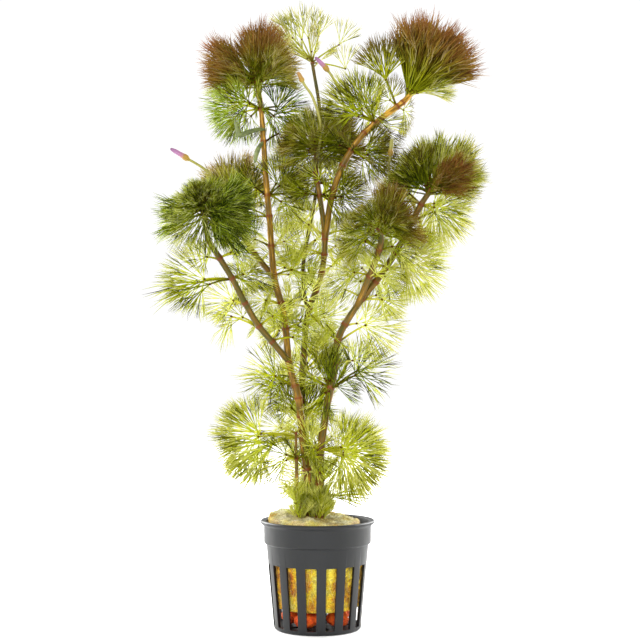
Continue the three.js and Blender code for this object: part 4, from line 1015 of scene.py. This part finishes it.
stem_skin = living_stem()
for name, (root_radius, tip_radius, root_amber, tip_amber, points) in STEMS.items():
    last = len(points) - 1
    marks = np.linspace(0, last, STEM_FINE * last)
    travelled = travelled_at(run_through(points, marks))
    stations = np.linspace(0, travelled[-1], round(travelled[-1] / STEM_STEP))
    numbers = np.interp(stations, travelled, marks)
    path = run_through(points, numbers)
    length = np.interp(numbers, marks, travelled)
    joint = np.zeros(len(path))
    for at in joints_on[name] + [last]:
        away = np.linalg.norm(path - run_through(points, at), axis=1)
        joint = np.maximum(joint, np.exp(-((away / JOINT_LENGTH) ** 2)))
    share = numbers / last
    radii = (root_radius + (tip_radius - root_radius) * share) * (1 + JOINT_SWELL * joint)
    radii *= 1 + STEM_UNEVEN * wrinkle(path, 9, len(path))
    corners, faces = tube(path, radii, STEM_SIDES)
    turns = np.tile(angles_round(STEM_SIDES), len(path))
    grain = np.stack([np.cos(turns), np.sin(turns), np.repeat(length, STEM_SIDES) / GRAIN_LENGTH], axis=1)
    stem = add_piece(
        name + "_skin", corners, faces, stem_skin,
        {
            "grain": grain,
            "amber": np.repeat(root_amber + (tip_amber - root_amber) * share, STEM_SIDES),
            "joint": np.repeat(joint**1.5, STEM_SIDES),
        },
    )
    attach(stem, "root")
    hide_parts(name)

# Flower buds
# Buds that have come up to the surface on thin stalks: pink to lilac petals, still rolled in three, in an
# orange-brown calyx.
BUDS = {  # the bud's length, widest radius and pinkness, where below 0 is green, and its stalk's points
    "bud_left": (10, 1.45, 1, [
        (-38, 24, 183), (-42.5, 19, 193), (-50, 13.5, 202.3), (-58.4, 10, 207.5), (-66, 9, 211.9),
    ]),
    "bud_middle": (9, 1.35, 1, [
        (13.6, 0, 207), (13.5, 5, 222), (10, 8, 237), (5.2, 9, 246.4), (-1.1, 9, 253.1),
    ]),
    "bud_orange": (5, 1.3, 0.05, [
        (-0.4, 7, 206), (1.5, -3, 219), (-1.8, -5, 231.5), (-5.6, -5, 237.7), (-8.6, -5, 243.4),
    ]),
    "bud_right": (8, 1.3, -1.3, [
        (43, -15, 181), (37, -12, 191), (31.4, -9, 199.5), (31.8, -8, 206.5), (32.4, -8, 213.6),
    ]),
}
BUD_STALK_R = 0.58
BUD_FINE, BUD_STATIONS = 200, 80
BUD_SIDES = 16
BUD_OUTLINE = ((0, 0.06, 0.16, 0.3, 0.4, 0.75, 0.93, 1), (0, 0.5, 1, 1, 0.72, 0.6, 0.2, -0.2))
CALYX_END = 0.3
PETALS, PETAL_DEPTH, PETAL_TWIST = 3, 0.12, 2.2


def flower_petal():
    """Petal and calyx: soft matt tissue, orange-brown at the calyx, pink to lilac where petals show."""
    material, shader = add_material("flower petal")
    bloom = add_node(material, "Attribute", settings={"attribute_name": "bloom"}).outputs["Fac"]
    colour = add_node(
        material, "ValToRGB", {"Fac": bloom},
        stops=[
            (0, "#8e8a3c"), (1, "#6c4066"), (0.2, "#a08434"), (0.38, "#947018"), (0.55, "#9c6a6c"),
            (0.75, "#9a6690"),
        ],
    )
    fill_sockets(material, shader, {"Base Color": colour.outputs["Color"], "Roughness": 0.5})
    return material


petal = flower_petal()
for name, (length, widest, pink, points) in BUDS.items():
    fine = run_through(points, np.linspace(0, len(points) - 1, BUD_FINE))
    travelled = travelled_at(fine)
    stations = np.linspace(0, travelled[-1], BUD_STATIONS)
    path = np.stack([np.interp(stations, travelled, column) for column in fine.T], axis=1)
    into_bud = np.clip((stations - travelled[-1] + length) / length, 0, 1)
    swell = np.interp(into_bud, *BUD_OUTLINE)
    corners, faces = tube(path, BUD_STALK_R + (widest - BUD_STALK_R) * swell, BUD_SIDES)
    turns = np.tile(angles_round(BUD_SIDES), len(path))
    folds = np.abs(np.sin(PETALS / 2 * turns + PETAL_TWIST * np.repeat(into_bud, BUD_SIDES)))
    petals = 1 - PETAL_DEPTH * np.repeat(into_bud > CALYX_END, BUD_SIDES) * folds
    centres = np.repeat(path, BUD_SIDES, axis=0)
    corners = centres + (corners - centres) * petals[:, None]
    blooms = (0, 0.2, 0.38, 0.38 + 0.25 * pink, 0.38 + 0.6 * pink)
    bloom = np.interp(into_bud, (0, 0.05, CALYX_END, 0.42, 1), blooms)
    bud = add_piece(name + "_petals", corners, faces, petal, {"bloom": np.repeat(bloom, BUD_SIDES)})
    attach(bud, "root")
    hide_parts(name)

# Floating leaves
# Narrow undivided straps that the plant makes beside its flowers, grey-green and a little waxy. One is bent
# where its stalk joins, and the other points down.
STRAPS = {  # half width, then the points that it runs through
    "floating_leaf_bent": (1.15, [
        (-23.2, 3, 219.6), (-27, 1, 219), (-31, -1, 217.4), (-34.6, -2, 216.2), (-35.6, -2, 219.6),
        (-36.4, -2, 223.6),
    ]),
    "floating_leaf_straight": (1.1, [(-24.3, 3, 214), (-26, 1, 211), (-27.2, 0, 207.5), (-27.6, 0, 204)]),
}
STRAP_STATIONS, STRAP_SIDES, STRAP_FLAT = 40, 12, 0.28
STRAP_OUTLINE = ((0, 0.12, 0.5, 0.85, 1), (0.35, 0.8, 1, 0.8, 0.2))


def waxy_leaf():
    """An undivided leaf's skin: even grey-green with a faint waxy sheen."""
    material, shader = add_material("waxy leaf")
    place = add_node(material, "TexCoord").outputs["Object"]
    mottle = add_node(material, "TexNoise", {"Vector": place, "Scale": 1 / (2 * MM), "Detail": 3})
    colour = add_node(
        material, "ValToRGB", {"Fac": mottle.outputs["Fac"]}, stops=[(0.35, "#4c5630"), (0.65, "#727c3e")],
    )
    fill_sockets(material, shader, {"Base Color": colour.outputs["Color"], "Roughness": 0.4})
    return material


wax = waxy_leaf()
for name, (half_width, points) in STRAPS.items():
    shares = np.linspace(0, 1, STRAP_STATIONS)
    path = run_through(points, shares * (len(points) - 1))
    width = half_width * np.interp(shares, *STRAP_OUTLINE)
    strap = add_piece(name + "_blade", *tube(path, width, STRAP_SIDES, STRAP_FLAT), wax)
    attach(strap, "root")
    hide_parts(name)

# Floor and light
# A white studio sweep with large soft lamps: one on each side behind the plant, so that the thin leaves glow,
# and one in front for the pot.
FLOOR_HALF = 40
LIT_PLACE = (0, 0, 0.15)
STUDIO_LIGHT = 1.05
LAMPS = {  # place, size and power in watts; each lamp faces the plant
    "back left lamp": ((-0.7, 0.7, 0.5), 0.7, 19),
    "back right lamp": ((0.7, 0.7, 0.5), 0.7, 19),
    "front lamp": ((-0.4, -1.1, 0.7), 0.9, 12),
}
studio_white, studio_shader = add_material("studio paper")
fill_sockets(studio_white, studio_shader, {"Base Color": paint("#fdfdfc"), "Roughness": 0.9})
sheet = np.array([(-1, -1, 0), (1, -1, 0), (1, 1, 0), (-1, 1, 0)]) * FLOOR_HALF
floor = add_piece("floor", sheet / MM, [(0, 1, 2, 3)], studio_white)
for name, (spot, size, power) in LAMPS.items():
    lamp = bpy.data.lights.new(name, "AREA")
    lamp.size = size
    lamp.energy = power
    holder = bpy.data.objects.new(name, lamp)
    holder.location = spot
    aim = np.array(LIT_PLACE) - spot
    tilt = math.acos(-aim[2] / np.linalg.norm(aim))
    holder.rotation_euler = (tilt, 0, math.atan2(aim[1], aim[0]) - math.pi / 2)
    bpy.context.scene.collection.objects.link(holder)
world = bpy.data.worlds.new("studio")
world.use_nodes = True
fill_sockets(world, world.node_tree.nodes["Background"], {"Color": (1, 1, 1, 1), "Strength": STUDIO_LIGHT})
bpy.context.scene.world = world
bpy.context.scene.view_settings.view_transform = "Standard"
